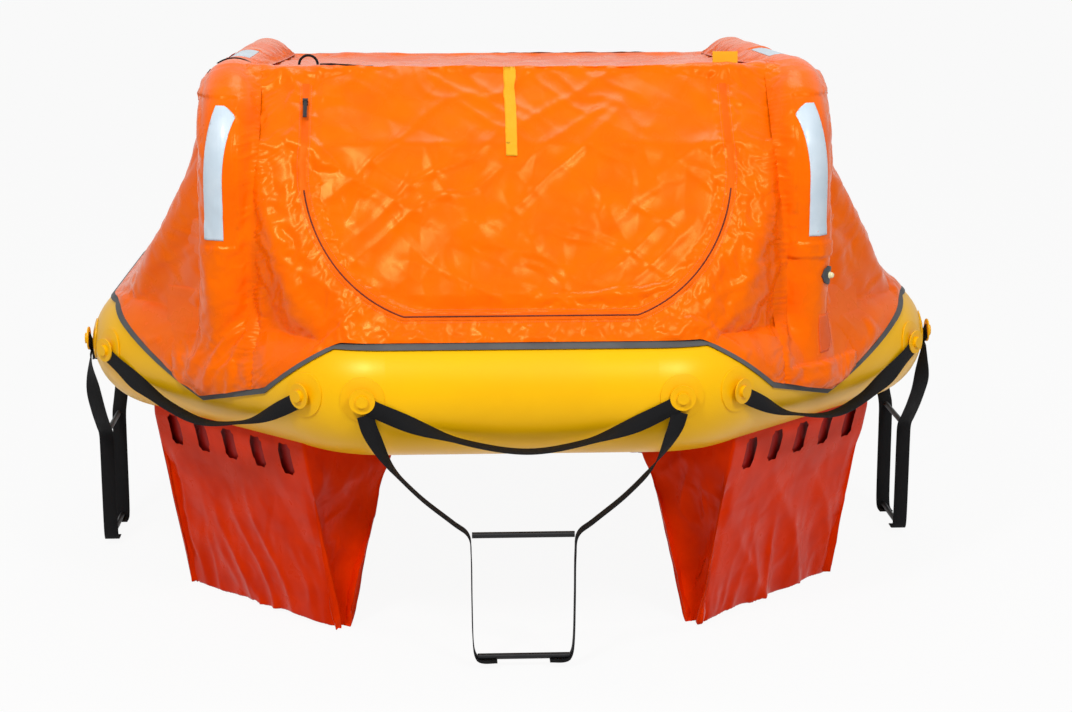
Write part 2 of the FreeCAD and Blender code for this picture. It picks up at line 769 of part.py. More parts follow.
tapes = []
for hand, rooms in tape_rooms.items():
    skin = arch_skin(f"tape_skin_{hand}", hand, "Sizes.tape_thickness")
    tapes.append(common(f"tapes_{hand}", skin, rooms))
finish(group("reflective_tapes", tapes))

band_place = Placement(Vector(-size("arch_offset"), -size("band_reach"), size("arch_height")), Rotation())
band_shift = Placement(Vector(-size("arch_radius") * 2, 0, -size("arch_radius")), Rotation())
band_room = box(
    "band_room",
    "Sizes.arch_radius * 4",
    "Sizes.band_width",
    "Sizes.arch_radius * 3",
    band_place.multiply(band_shift),
)
band_skin = arch_skin("band_skin", "left", "Sizes.webbing_thickness")
finish(common("arch_band", band_skin, band_room))


def level_direction(bearing):
    """Return the level direction turned from +X towards the front by a bearing in degrees."""
    turn = math.radians(bearing)
    return Vector(math.cos(turn), -math.sin(turn), 0)


lamp_axis = level_direction(size("lamp_bearing"))
lamp_middle = beside_arch("right", -size("arch_reach"), size("lamp_level"), lamp_axis)
lamp_room = doc.addObject("Part::Prism", "lamp_room")
lamp_room.Polygon = 8
bind(lamp_room, Circumradius="Sizes.lamp_side / 2", Height=SKIN_REACH)
lamp_room.Placement = lamp_middle
lamp_skin = arch_skin("lamp_skin", "right", "Sizes.webbing_thickness")
finish(common("lamp_base", lamp_skin, lamp_room))
LENS_START = size("arch_radius") + CLOTH + 2 * GAP + size("webbing_thickness")
lens_place = lamp_middle.multiply(Placement(Vector(0, 0, LENS_START), Rotation()))
lens_barrel = cylinder("lens_barrel", "Sizes.lamp_radius", "Sizes.lamp_radius", lens_place)
lens_dome = doc.addObject("Part::Sphere", "lens_dome")
bind(lens_dome, Radius="Sizes.lamp_radius")
lens_dome.Angle1 = 0
lens_dome.Placement = lens_place.multiply(Placement(Vector(0, 0, size("lamp_radius")), Rotation()))
finish(fuse("lamp_lens", lens_barrel, lens_dome))

label_axis = level_direction(size("label_bearing"))
label_middle = beside_arch("right", -size("arch_reach"), size("label_level"), label_axis)
label_shift = Placement(Vector(-size("label_width") / 2, -size("label_height") / 2, 0), Rotation())
label_room = box(
    "label_room",
    "Sizes.label_width",
    "Sizes.label_height",
    SKIN_REACH,
    label_middle.multiply(label_shift),
)
label_skin = arch_skin("label_skin", "right", "Sizes.tape_thickness")
label_blank = common("label_blank", label_skin, label_room)
hem_clearance = ring("hem_clearance", "Sizes.cloth_thickness + 2 * Sizes.fit_gap")
finish(cut("label_patch", label_blank, hem_clearance))

ROOF_EDGE = size("roof_front") - size("roof_edge_inset")
ROOF_TILT = Rotation(RIGHT, -math.degrees(math.atan2(size("roof_drop"), 2 * size("roof_front"))))


def on_roof(across, distance):
    """Return a placement on the roof's cloth, its Z square to the slope."""
    return Placement(Vector(across, -distance, roof_height(distance) + CLOTH), ROOF_TILT)


finish(box(
    "roof_strap",
    "Sizes.roof_strap_length",
    "Sizes.roof_strap_width",
    "Sizes.webbing_thickness",
    on_roof(size("roof_strap_across") - size("roof_strap_length") / 2, ROOF_EDGE),
))
loop_ring = doc.addObject("Part::Torus", "loop_ring")
bind(loop_ring, Radius1="Sizes.loop_radius", Radius2="Sizes.loop_wire")
STRAP_END = size("roof_strap_across") - size("roof_strap_length") / 2
loop_across = STRAP_END - size("loop_radius") - 2 * size("loop_wire")
loop_middle = on_roof(loop_across, ROOF_EDGE - size("roof_strap_width") / 2)
loop_ring.Placement = loop_middle.multiply(Placement(Vector(), Rotation(RIGHT, 90)))
loop_corner = Vector(-2 * size("loop_radius"), -size("loop_radius"), 0)
loop_room = box(
    "loop_room",
    "Sizes.loop_radius * 4",
    "Sizes.loop_radius * 2",
    "Sizes.loop_radius * 2",
    loop_middle.multiply(Placement(loop_corner, Rotation())),
)
finish(common("roof_loop", loop_ring, loop_room))
finish(box(
    "roof_tab",
    "Sizes.tab_length",
    "Sizes.webbing_thickness",
    "Sizes.tab_height",
    on_roof(size("tab_across") - size("tab_length") / 2, ROOF_EDGE),
))


# ---------------------------------------------------------------- lifelines round the tube

patch_clearance = ring("patch_clearance", "Sizes.patch_thickness + 2 * Sizes.fit_gap")
patch_rooms = []
for side in BEARINGS:
    for hand, offset in (("left", -PATCH_OFFSET), ("right", PATCH_OFFSET)):
        seat = Vector(offset, -size("side_distance"), size("patch_level"))
        place = turned(side).multiply(Placement(seat, Rotation(UP, OUT)))
        patch_rooms.append(cylinder(
            f"patch_room_{side}_{hand}",
            "Sizes.patch_radius",
            "Sizes.tube_radius * 2",
            place,
        ))
patch_skin = ring_skin("patch_skin", "Sizes.patch_thickness")
finish(common("lifeline_patches", patch_skin, group("patch_rooms", patch_rooms)))

BAND_NEAR = OUTER_DISTANCE + size("patch_thickness") + 2 * GAP
BAND_FAR = BAND_NEAR + size("webbing_thickness")
SAG_RADIUS = (PATCH_OFFSET ** 2 + size("lifeline_sag") ** 2) / (2 * size("lifeline_sag"))
SAG_CENTRE = size("patch_level") - size("lifeline_sag") + SAG_RADIUS
SAG_HALF_ANGLE = math.asin(PATCH_OFFSET / SAG_RADIUS) + size("stud_radius") / SAG_RADIUS


def sag_point(radius, angle):
    """Return a point of the lifeline's arc in the front's upright plane."""
    return Vector(radius * math.sin(angle), 0, SAG_CENTRE - radius * math.cos(angle))


def lifeline_outline():
    """Return the outline of a lifeline's hanging band."""
    upper = SAG_RADIUS - size("webbing_width") / 2
    lower = SAG_RADIUS + size("webbing_width") / 2
    ends = (-SAG_HALF_ANGLE, SAG_HALF_ANGLE)
    corners = [sag_point(radius, end) for radius in (upper, lower) for end in ends]
    edges = [
        Part.Arc(corners[0], sag_point(upper, 0), corners[1]).toShape(),
        Part.makeLine(corners[1], corners[3]),
        Part.Arc(corners[3], sag_point(lower, 0), corners[2]).toShape(),
        Part.makeLine(corners[2], corners[0]),
    ]
    return Part.Wire(edges)


buttons = []
for side in BEARINGS:
    band = prism(f"lifeline_{side}", lifeline_outline(), BAND_NEAR, BAND_FAR, side)
    finish(band)
    for hand, offset in (("left", -PATCH_OFFSET), ("right", PATCH_OFFSET)):
        seat = Vector(offset, -BAND_FAR - GAP, size("patch_level"))
        place = turned(side).multiply(Placement(seat, Rotation(UP, OUT)))
        disc = cylinder(f"disc_{side}_{hand}", "Sizes.button_radius", "Sizes.button_thickness", place)
        stud = cylinder(
            f"stud_{side}_{hand}",
            "Sizes.stud_radius",
            "Sizes.button_thickness + Sizes.stud_height",
            place,
        )
        buttons.append(fuse(f"button_{side}_{hand}", disc, stud))
finish(group("lifeline_buttons", buttons))


# ---------------------------------------------------------------- boarding ladders

LADDER_NEAR = OUTER_DISTANCE - size("ladder_inset")
LADDER_FAR = LADDER_NEAR + size("ladder_width")


def ladder_outline(sign):
    """Return the edge-on outline of one webbing leg of a ladder."""
    top = Vector(sign * size("ladder_spread"), 0, size("ladder_top"))
    corner = Vector(sign * size("ladder_half"), 0, size("upper_rung_level"))
    chord = corner - top
    down = Vector(-sign * chord.z, 0, sign * chord.x).normalize() * size("ladder_sag")
    if down.z > 0:
        down = -down
    bow = (top + corner) / 2 + down
    foot = Vector(sign * size("ladder_half"), 0, size("lower_rung_level") + 3 * size("rung_radius"))
    heel = Vector(sign * size("lower_rung_half"), 0, size("lower_rung_level"))
    toe = Vector(sign * size("lower_rung_half"), 0, size("lower_rung_level") - size("rung_radius"))
    edges = [
        Part.Arc(top, bow, corner).toShape(),
        Part.makeLine(corner, foot),
        Part.makeLine(foot, heel),
        Part.makeLine(heel, toe),
    ]
    strips = [
        Part.Wire(edges).makeOffset2D(offset, 2, True, True)
        for offset in (size("webbing_thickness"), -size("webbing_thickness"))
    ]
    outside = max(strips, key=lambda strip: strip.BoundBox.XMax * sign + strip.BoundBox.XMin * sign)
    return outside.Faces[0].OuterWire


for side in LADDER_SIDES:
    legs = []
    for hand, sign in (("left", -1), ("right", 1)):
        leg = prism(f"ladder_leg_{side}_{hand}", ladder_outline(sign), LADDER_NEAR, LADDER_FAR, side)
        legs.append(cut(f"ladder_strap_{side}_{hand}", leg, patch_clearance))
    finish(group(f"ladder_webbing_{side}", legs))
    for name, level, half in (
        ("upper", "upper_rung_level", "ladder_half"),
        ("lower", "lower_rung_level", "lower_rung_half"),
    ):
        start = Vector(-size(half), -(LADDER_NEAR + LADDER_FAR) / 2, size(level))
        place = turned(side).multiply(Placement(start, Rotation(UP, RIGHT)))
        finish(cylinder(f"ladder_{name}_rung_{side}", "Sizes.rung_radius", f"Sizes.{half} * 2", place))


# ---------------------------------------------------------------- water pockets

POCKET_TOP = size("floor_level")
POCKET_FOOT = -size("pocket_depth")
POCKET_WALL = size("pocket_wall")


def pocket_blank(label, inset):
    """Add a pocket's tapered form, square to the front side, its walls moved inward."""
    section = [
        (size("pocket_outer") - inset, POCKET_TOP + inset),
        (size("pocket_foot_outer") - inset, POCKET_FOOT + inset),
        (size("pocket_foot_inner") + inset, POCKET_FOOT + inset),
        (size("pocket_inner") + inset, POCKET_TOP + inset),
    ]
    half = size("pocket_half") - inset
    return block_across(label, section, -half, half)


def slot_outline(across):
    """Return a filling slot's outline, upright with round ends."""
    radius = size("slot_width") / 2
    straight = size("slot_height") / 2 - radius
    upper = Vector(across, 0, size("slot_level") + straight)
    lower = Vector(across, 0, size("slot_level") - straight)
    aside = RIGHT * radius
    return Part.Wire([
        Part.Arc(upper - aside, upper + UP * radius, upper + aside).toShape(),
        Part.makeLine(upper + aside, lower + aside),
        Part.Arc(lower + aside, lower - UP * radius, lower - aside).toShape(),
        Part.makeLine(lower - aside, upper - aside),
    ])


pocket_form = pocket_blank("pocket_form", 0)
pocket_hollow = pocket_blank("pocket_hollow", POCKET_WALL)
slots = []
for number in range(int(size("slot_count"))):
    across = (number - (size("slot_count") - 1) / 2) * size("slot_pitch")
    near = size("pocket_foot_outer")
    far = size("pocket_outer") + POCKET_WALL
    slots.append(prism(f"slot_{number}", slot_outline(across), near, far))
pocket_room = fuse("pocket_room", pocket_hollow, tube_clearance)
pocket_shell = cut("pocket_shell", pocket_form, pocket_room)
pocket_slotted = cut("pocket_slotted", pocket_shell, group("slots", slots))

# A pocket is sewn from an outer wall, an inner wall and two end panels.
POCKET_HALF = size("pocket_half")
MIDDLE_TOP = (size("pocket_outer") + size("pocket_inner")) / 2
MIDDLE_FOOT = (size("pocket_foot_outer") + size("pocket_foot_inner")) / 2
OUTER_HALF = [
    (size("pocket_outer"), POCKET_TOP),
    (size("pocket_outer"), POCKET_FOOT),
    (MIDDLE_FOOT, POCKET_FOOT),
    (MIDDLE_TOP, POCKET_TOP),
]
INNER_HALF = [
    (size("pocket_inner"), POCKET_TOP),
    (size("pocket_inner"), POCKET_FOOT),
    (MIDDLE_FOOT, POCKET_FOOT),
    (MIDDLE_TOP, POCKET_TOP),
]
BOTH_HALVES = OUTER_HALF[:2] + INNER_HALF[1::-1]
pocket_panels = []
for name, section, left, right in (
    ("outer", OUTER_HALF, POCKET_WALL - POCKET_HALF, POCKET_HALF - POCKET_WALL),
    ("inner", INNER_HALF, POCKET_WALL - POCKET_HALF, POCKET_HALF - POCKET_WALL),
    ("left", BOTH_HALVES, -POCKET_HALF, POCKET_WALL - POCKET_HALF),
    ("right", BOTH_HALVES, POCKET_HALF - POCKET_WALL, POCKET_HALF),
):
    panel_room = block_across(f"pocket_{name}_room", section, left, right)
    pocket_panels.append(common(f"pocket_{name}_wall", pocket_slotted, panel_room))
for side in CORNER_SIDES:
    pocket = group(f"pocket_{side}", pocket_panels)
    pocket.Placement = turned(side)
    finish(pocket)


# ---------------------------------------------------------------- gas cylinder under the floor

BOTTLE_LEVEL = size("floor_level") - size("bottle_drop") - size("bottle_radius")
BOTTLE_HALF = size("bottle_length") / 2
ALONG_BOTTLE = Rotation(UP, RIGHT)


def on_bottle(along):
    """Return a placement on the gas cylinder's axis whose Z runs towards its head."""
    return Placement(Vector(along, size("bottle_distance"), BOTTLE_LEVEL), ALONG_BOTTLE)


bottle_wall = cylinder("bottle_wall", "Sizes.bottle_radius", "Sizes.bottle_length", on_bottle(-BOTTLE_HALF))
bottle_ends = []
for hand, along in (("left", -BOTTLE_HALF), ("right", BOTTLE_HALF)):
    end = doc.addObject("Part::Sphere", f"bottle_end_{hand}")
    bind(end, Radius="Sizes.bottle_radius")
    end.Placement = on_bottle(along)
    bottle_ends.append(end)
NECK_START = BOTTLE_HALF + size("bottle_radius") - size("neck_radius") / 2
bottle_neck = cylinder("bottle_neck", "Sizes.neck_radius", "Sizes.neck_length", on_bottle(NECK_START))
finish(fuse("gas_cylinder", bottle_wall, bottle_neck, *bottle_ends))

HEAD_START = NECK_START + size("neck_length")
head_corner = Vector(
    HEAD_START,
    size("bottle_distance") - size("head_width") / 2,
    BOTTLE_LEVEL - size("head_height") / 2,
)
finish(box(
    "cylinder_head",
    "Sizes.head_length",
    "Sizes.head_width",
    "Sizes.head_height",
    Placement(head_corner, Rotation()),
))

STRAP_INNER = size("bottle_radius") + GAP
strap_rings = []
for hand, along in (("left", -BOTTLE_HALF / 2), ("right", BOTTLE_HALF / 2)):
    start = on_bottle(along - size("strap_width") / 2)
    loop = cylinder(
        f"strap_loop_{hand}",
        "Sizes.bottle_radius + Sizes.fit_gap + Sizes.strap_thickness",
        "Sizes.strap_width",
        start,
    )
    plate_corner = Vector(
        along - size("strap_width") / 2,
        size("bottle_distance") - size("bottle_radius"),
        size("floor_level") - size("strap_thickness"),
    )
    plate = box(
        f"strap_plate_{hand}",
        "Sizes.strap_width",
        "Sizes.bottle_radius * 2",
        "Sizes.strap_thickness",
        Placement(plate_corner, Rotation()),
    )
    bottle_room = cylinder(
        f"strap_bore_{hand}",
        "Sizes.bottle_radius + Sizes.fit_gap",
        "Sizes.strap_width",
        start,
    )
    strap_rings.append(cut(f"strap_{hand}", fuse(f"strap_blank_{hand}", loop, plate), bottle_room))
finish(group("cylinder_straps", strap_rings))

PIPE_ACROSS = HEAD_START + size("head_length") / 2
PIPE_START = size("bottle_distance") + size("head_width") / 2
PIPE_TOP = BOTTLE_LEVEL + size("pipe_bend")


def pipe_spine():
    """Return the inflation pipe's centreline from the head to the inlet valve."""
    bend = size("pipe_bend")
    diagonal = bend * math.sqrt(0.5)
    corner = size("inlet_distance")
    start = Vector(PIPE_ACROSS, PIPE_START, BOTTLE_LEVEL)
    turn_in = Vector(PIPE_ACROSS, corner - bend, BOTTLE_LEVEL)
    middle = Vector(PIPE_ACROSS, corner - bend + diagonal, BOTTLE_LEVEL + bend - diagonal)
    turn_out = Vector(PIPE_ACROSS, corner, PIPE_TOP)
    return Part.Wire([Part.makeLine(start, turn_in), Part.Arc(turn_in, middle, turn_out).toShape()])


pipe_line = feature("pipe_centreline", pipe_spine())
pipe_section_place = Placement(Vector(PIPE_ACROSS, PIPE_START, BOTTLE_LEVEL), Rotation(UP, Vector(0, 1, 0)))
finish(swept("inflation_pipe", pipe_line, pipe_section_place, "Sizes.pipe_radius"))

inlet_blank = cylinder(
    "inlet_blank",
    "Sizes.inlet_radius",
    "Sizes.tube_radius / 2",
    Placement(Vector(PIPE_ACROSS, size("inlet_distance"), PIPE_TOP), Rotation()),
)
finish(cut("inlet_valve", inlet_blank, tube_clearance))


# ---------------------------------------------------------------- valves inside the tube

VALVE_FACE = size("side_distance") - size("tube_radius") - GAP
INWARD = Vector(0, -1, 0)


def inner_valve_place(across, depth):
    """Return a placement at the tube's inner face of the back side, its Z pointing inward."""
    seat = Vector(across, VALVE_FACE - depth, size("tube_radius"))
    return Placement(seat, Rotation(UP, INWARD))


valve_skin = ring_skin("valve_skin", "Sizes.valve_thickness")
flange_room = cylinder(
    "flange_room",
    "Sizes.valve_radius",
    "Sizes.tube_radius",
    inner_valve_place(-size("valve_spacing"), -size("tube_radius") / 2),
)
valve_flange = common("valve_flange", valve_skin, flange_room)
NECK_DEPTH = size("valve_thickness") / 2
valve_neck = cylinder(
    "valve_neck",
    "Sizes.valve_neck",
    "Sizes.cap_height",
    inner_valve_place(-size("valve_spacing"), NECK_DEPTH),
)
valve_bore = cylinder(
    "valve_bore",
    "Sizes.valve_bore",
    "Sizes.cap_height",
    inner_valve_place(-size("valve_spacing"), size("valve_thickness")),
)
valve_blank = fuse("valve_blank", valve_flange, valve_neck)
finish(cut("topping_valve", valve_blank, valve_bore))

CAP_START = size("valve_thickness") + GAP
cap_outside = cylinder(
    "cap_outside",
    "Sizes.cap_radius",
    "Sizes.cap_height",
    inner_valve_place(-size("valve_spacing"), CAP_START),
)
cap_socket = cylinder(
    "cap_socket",
    "Sizes.valve_neck + Sizes.fit_gap",
    "Sizes.cap_height - Sizes.valve_thickness / 2",
    inner_valve_place(-size("valve_spacing"), CAP_START),
)
finish(cut("valve_cap", cap_outside, cap_socket))

relief_room = cylinder(
    "relief_room",
    "Sizes.valve_radius",
    "Sizes.tube_radius",
    inner_valve_place(size("valve_spacing"), -size("tube_radius") / 2),
)
relief_flange = common("relief_flange", valve_skin, relief_room)
relief_body = cylinder(
    "relief_body",
    "Sizes.relief_radius",
    "Sizes.relief_height",
    inner_valve_place(size("valve_spacing"), NECK_DEPTH),
)
finish(fuse("relief_valve", relief_flange, relief_body))


# ---------------------------------------------------------------- equipment bag and painter

bag_corner = Vector(
    -size("bag_length") / 2,
    size("bag_distance") - size("bag_depth") / 2,
    size("floor_level") + size("floor_thickness"),
)
bag_block = box(
    "bag_block",
    "Sizes.bag_length",
    "Sizes.bag_depth",
    "Sizes.bag_height",
    Placement(bag_corner, Rotation()),
)
doc.recompute()
bag = doc.addObject("Part::Fillet", "equipment_bag")
bag.Label = "equipment_bag"
bag.Base = bag_block
BAG_ROUND = min(size("bag_height"), size("bag_depth")) / 5
bag.Edges = [(number + 1, BAG_ROUND, BAG_ROUND) for number in range(12)]
finish(bag)

painter_place = turned("back").multiply(Placement(
    Vector(0, -size("side_distance"), size("painter_level")),
    Rotation(UP, OUT),
))
painter_room = cylinder("painter_room", "Sizes.painter_patch_radius", "Sizes.tube_radius * 2", painter_place)
finish(common("painter_patch", patch_skin, painter_room))

EYE_FOOT = OUTER_DISTANCE + size("patch_thickness") + 2 * GAP
EYE_REACH = EYE_FOOT + size("eye_thickness") / 2 + size("eye_rim") + size("eye_bore")
EYE_TURN = Rotation(UP, RIGHT)


def on_eye(across, distance, level, turn=None):
    """Return a placement beside the painter eye, in the back side's frame."""
    return turned("back").multiply(Placement(Vector(across, -distance, level), turn or Rotation()))


eye_side = -size("eye_thickness") / 2
eye_outer_radius = "Sizes.eye_bore + Sizes.eye_rim"
eye_head = cylinder(
    "eye_head",
    eye_outer_radius,
    "Sizes.eye_thickness",
    on_eye(eye_side, EYE_REACH, size("painter_level"), EYE_TURN),
)
eye_half = size("eye_bore") + size("eye_rim")
eye_web = box(
    "eye_web",
    "Sizes.eye_thickness",
    f"{EYE_REACH - EYE_FOOT}",
    "2 * (Sizes.eye_bore + Sizes.eye_rim)",
    on_eye(eye_side, EYE_REACH, size("painter_level") - eye_half),
)
eye_plate = box(
    "eye_plate",
    "2 * (Sizes.eye_bore + Sizes.eye_rim)",
    "Sizes.eye_thickness / 2",
    "2 * (Sizes.eye_bore + Sizes.eye_rim)",
    on_eye(-eye_half, EYE_FOOT + size("eye_thickness") / 2, size("painter_level") - eye_half),
)
eye_hole = cylinder(
    "eye_hole",
    "Sizes.eye_bore",
    "Sizes.eye_thickness",
    on_eye(eye_side, EYE_REACH, size("painter_level"), EYE_TURN),
)
eye_blank = fuse("eye_blank", eye_head, eye_web, eye_plate)
finish(cut("painter_eye", eye_blank, eye_hole))


# ---------------------------------------------------------------- check and write

doc.recompute()
for item in doc.Objects:
    if "Invalid" in item.State or "Error" in item.State:
        raise RuntimeError(f"{item.Label} failed: {item.State}")
os.makedirs("parts", exist_ok=True)
for item in finished:
    shape = item.Shape
    if shape.isNull() or not shape.isValid() or not shape.Solids:
        raise RuntimeError(f"{item.Label} has no valid solid")
    shape.exportStep(f"parts/{item.Label}.step")
    print(f"{item.Label}: {len(shape.Solids)} solid(s), {shape.Volume / 1000:.1f} cm3")
print(f"{len(finished)} sub-parts written")
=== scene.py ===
"""Looks of an inflatable canopied liferaft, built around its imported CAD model.

Lengths are metres and +Z is up. The origin is the middle of the raft on the plane of the
buoyancy tube's underside, and the entrance faces -Y.
"""

import logging
import math
from dataclasses import dataclass, field, replace
from enum import Enum
from typing import Callable, Sequence

import bmesh
import bpy
import numpy as np
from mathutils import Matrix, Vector
from mathutils.bvhtree import BVHTree


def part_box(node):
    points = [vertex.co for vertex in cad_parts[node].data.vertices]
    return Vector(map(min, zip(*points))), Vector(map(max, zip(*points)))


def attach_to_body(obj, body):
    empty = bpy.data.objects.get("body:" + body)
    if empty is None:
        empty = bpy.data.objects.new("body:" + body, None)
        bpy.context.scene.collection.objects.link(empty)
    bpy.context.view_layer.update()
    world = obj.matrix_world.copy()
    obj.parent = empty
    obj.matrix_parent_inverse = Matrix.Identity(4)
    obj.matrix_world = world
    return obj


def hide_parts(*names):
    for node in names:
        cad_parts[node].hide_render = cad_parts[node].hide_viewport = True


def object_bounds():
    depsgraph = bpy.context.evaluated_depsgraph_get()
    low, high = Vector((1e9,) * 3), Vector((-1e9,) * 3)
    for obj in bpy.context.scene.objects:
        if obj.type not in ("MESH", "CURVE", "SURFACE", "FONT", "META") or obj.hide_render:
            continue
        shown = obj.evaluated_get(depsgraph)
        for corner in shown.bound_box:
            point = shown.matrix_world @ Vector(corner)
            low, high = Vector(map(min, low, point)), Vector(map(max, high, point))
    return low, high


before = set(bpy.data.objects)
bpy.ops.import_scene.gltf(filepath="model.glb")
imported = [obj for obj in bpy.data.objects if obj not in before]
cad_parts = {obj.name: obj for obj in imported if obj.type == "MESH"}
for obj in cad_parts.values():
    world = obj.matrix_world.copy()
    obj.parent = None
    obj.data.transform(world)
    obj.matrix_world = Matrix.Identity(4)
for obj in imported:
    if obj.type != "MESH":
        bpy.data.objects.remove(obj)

CAD_BOX = [list(corner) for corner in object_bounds()]
LOG = logging.getLogger("liferaft")
MM = 0.001
RAFT = "raft"


def srgb(code: str) -> tuple[float, float, float, float]:
    """Turn an sRGB hex colour into linear values.

    Args:
        code: Colour such as "#FF7510".

    Returns:
        Linear red, green and blue, with an alpha of 1.
    """
    shares = [int(code[place:place + 2], 16) / 255 for place in (1, 3, 5)]
    linear = [s / 12.92 if s <= 0.04045 else ((s + 0.055) / 1.055) ** 2.4 for s in shares]
    return (*linear, 1.0)


# --------------------------------------------------------------------------------------
# Fields of folds
# --------------------------------------------------------------------------------------


def lattice_noise(u: np.ndarray, v: np.ndarray, seed: int) -> np.ndarray:
    """Smooth seeded noise over the plane.

    Args:
        u: First coordinate, one unit per lattice cell.
        v: Second coordinate, one unit per lattice cell.
        seed: Seed of the lattice.

    Returns:
        Values from 0 to 1, shaped like u.
    """
    table = np.random.default_rng(seed).random((64, 64))
    cell_u = np.floor(u).astype(int)
    cell_v = np.floor(v).astype(int)
    part_u = u - cell_u
    part_v = v - cell_v
    ease_u = part_u * part_u * (3 - 2 * part_u)
    ease_v = part_v * part_v * (3 - 2 * part_v)

    def at(step_u: int, step_v: int) -> np.ndarray:
        """Lattice values of one corner of each cell."""
        return table[(cell_u + step_u) % 64, (cell_v + step_v) % 64]

    low = at(0, 0) * (1 - ease_u) + at(1, 0) * ease_u
    high = at(0, 1) * (1 - ease_u) + at(1, 1) * ease_u
    return low * (1 - ease_v) + high * ease_v


def folds(
    u: np.ndarray, v: np.ndarray, width: float, stretch: float, bearing: float, seed: int, warp: float = 0.6
) -> np.ndarray:
    """Sharp-crested folds that run in one main direction.

    Args:
        u: Distance across the cloth in metres.
        v: Distance up the cloth in metres.
        width: Spacing of the folds in metres.
        stretch: Length of a fold over its width.
        bearing: Direction of the folds in degrees from the cloth's u.
        seed: Seed of the field.
        warp: How far the folds wander, in fold widths.

    Returns:
        Heights from 0 in the valleys to 1 on the crests.
    """
    turn = math.radians(bearing)
    along = (u * math.cos(turn) + v * math.sin(turn)) / (width * stretch)
    across = (v * math.cos(turn) - u * math.sin(turn)) / width
    wander = lattice_noise(along * 1.7 + 9, across * 0.35 + 5, seed + 1) - 0.5
    field_height = lattice_noise(along + 31, across + wander * 2 * warp + 17, seed)
    return 1 - np.abs(2 * field_height - 1)


# --------------------------------------------------------------------------------------
# The stretched form under the cloth
# --------------------------------------------------------------------------------------


def octagon_distance(x: np.ndarray, y: np.ndarray, apothem: float, corner: float) -> np.ndarray:
    """Distance in plan outside a regular octagon with rounded corners.

    Args:
        x: Plan coordinates.
        y: Plan coordinates.
        apothem: Middle of the octagon to a side.
        corner: Radius of its corners.

    Returns:
        Distances, negative inside.
    """
    flat = apothem - corner
    eighth = math.pi / 4
    sector = (np.arctan2(y, x) + eighth / 2) % eighth - eighth / 2
    radius = np.hypot(x, y)
    out = radius * np.cos(sector) - flat
    beyond = np.maximum(np.abs(radius * np.sin(sector)) - flat * math.tan(eighth / 2), 0)
    return np.where((out > 0) & (beyond > 0), np.hypot(out, beyond), out) - corner


def smooth_union(first: np.ndarray, second: np.ndarray, blend: float) -> np.ndarray:
    """Distance to two forms at once, with a fillet where they meet."""
    mix = np.clip(0.5 + 0.5 * (second - first) / blend, 0, 1)
    return second * (1 - mix) + first * mix - blend * mix * (1 - mix)


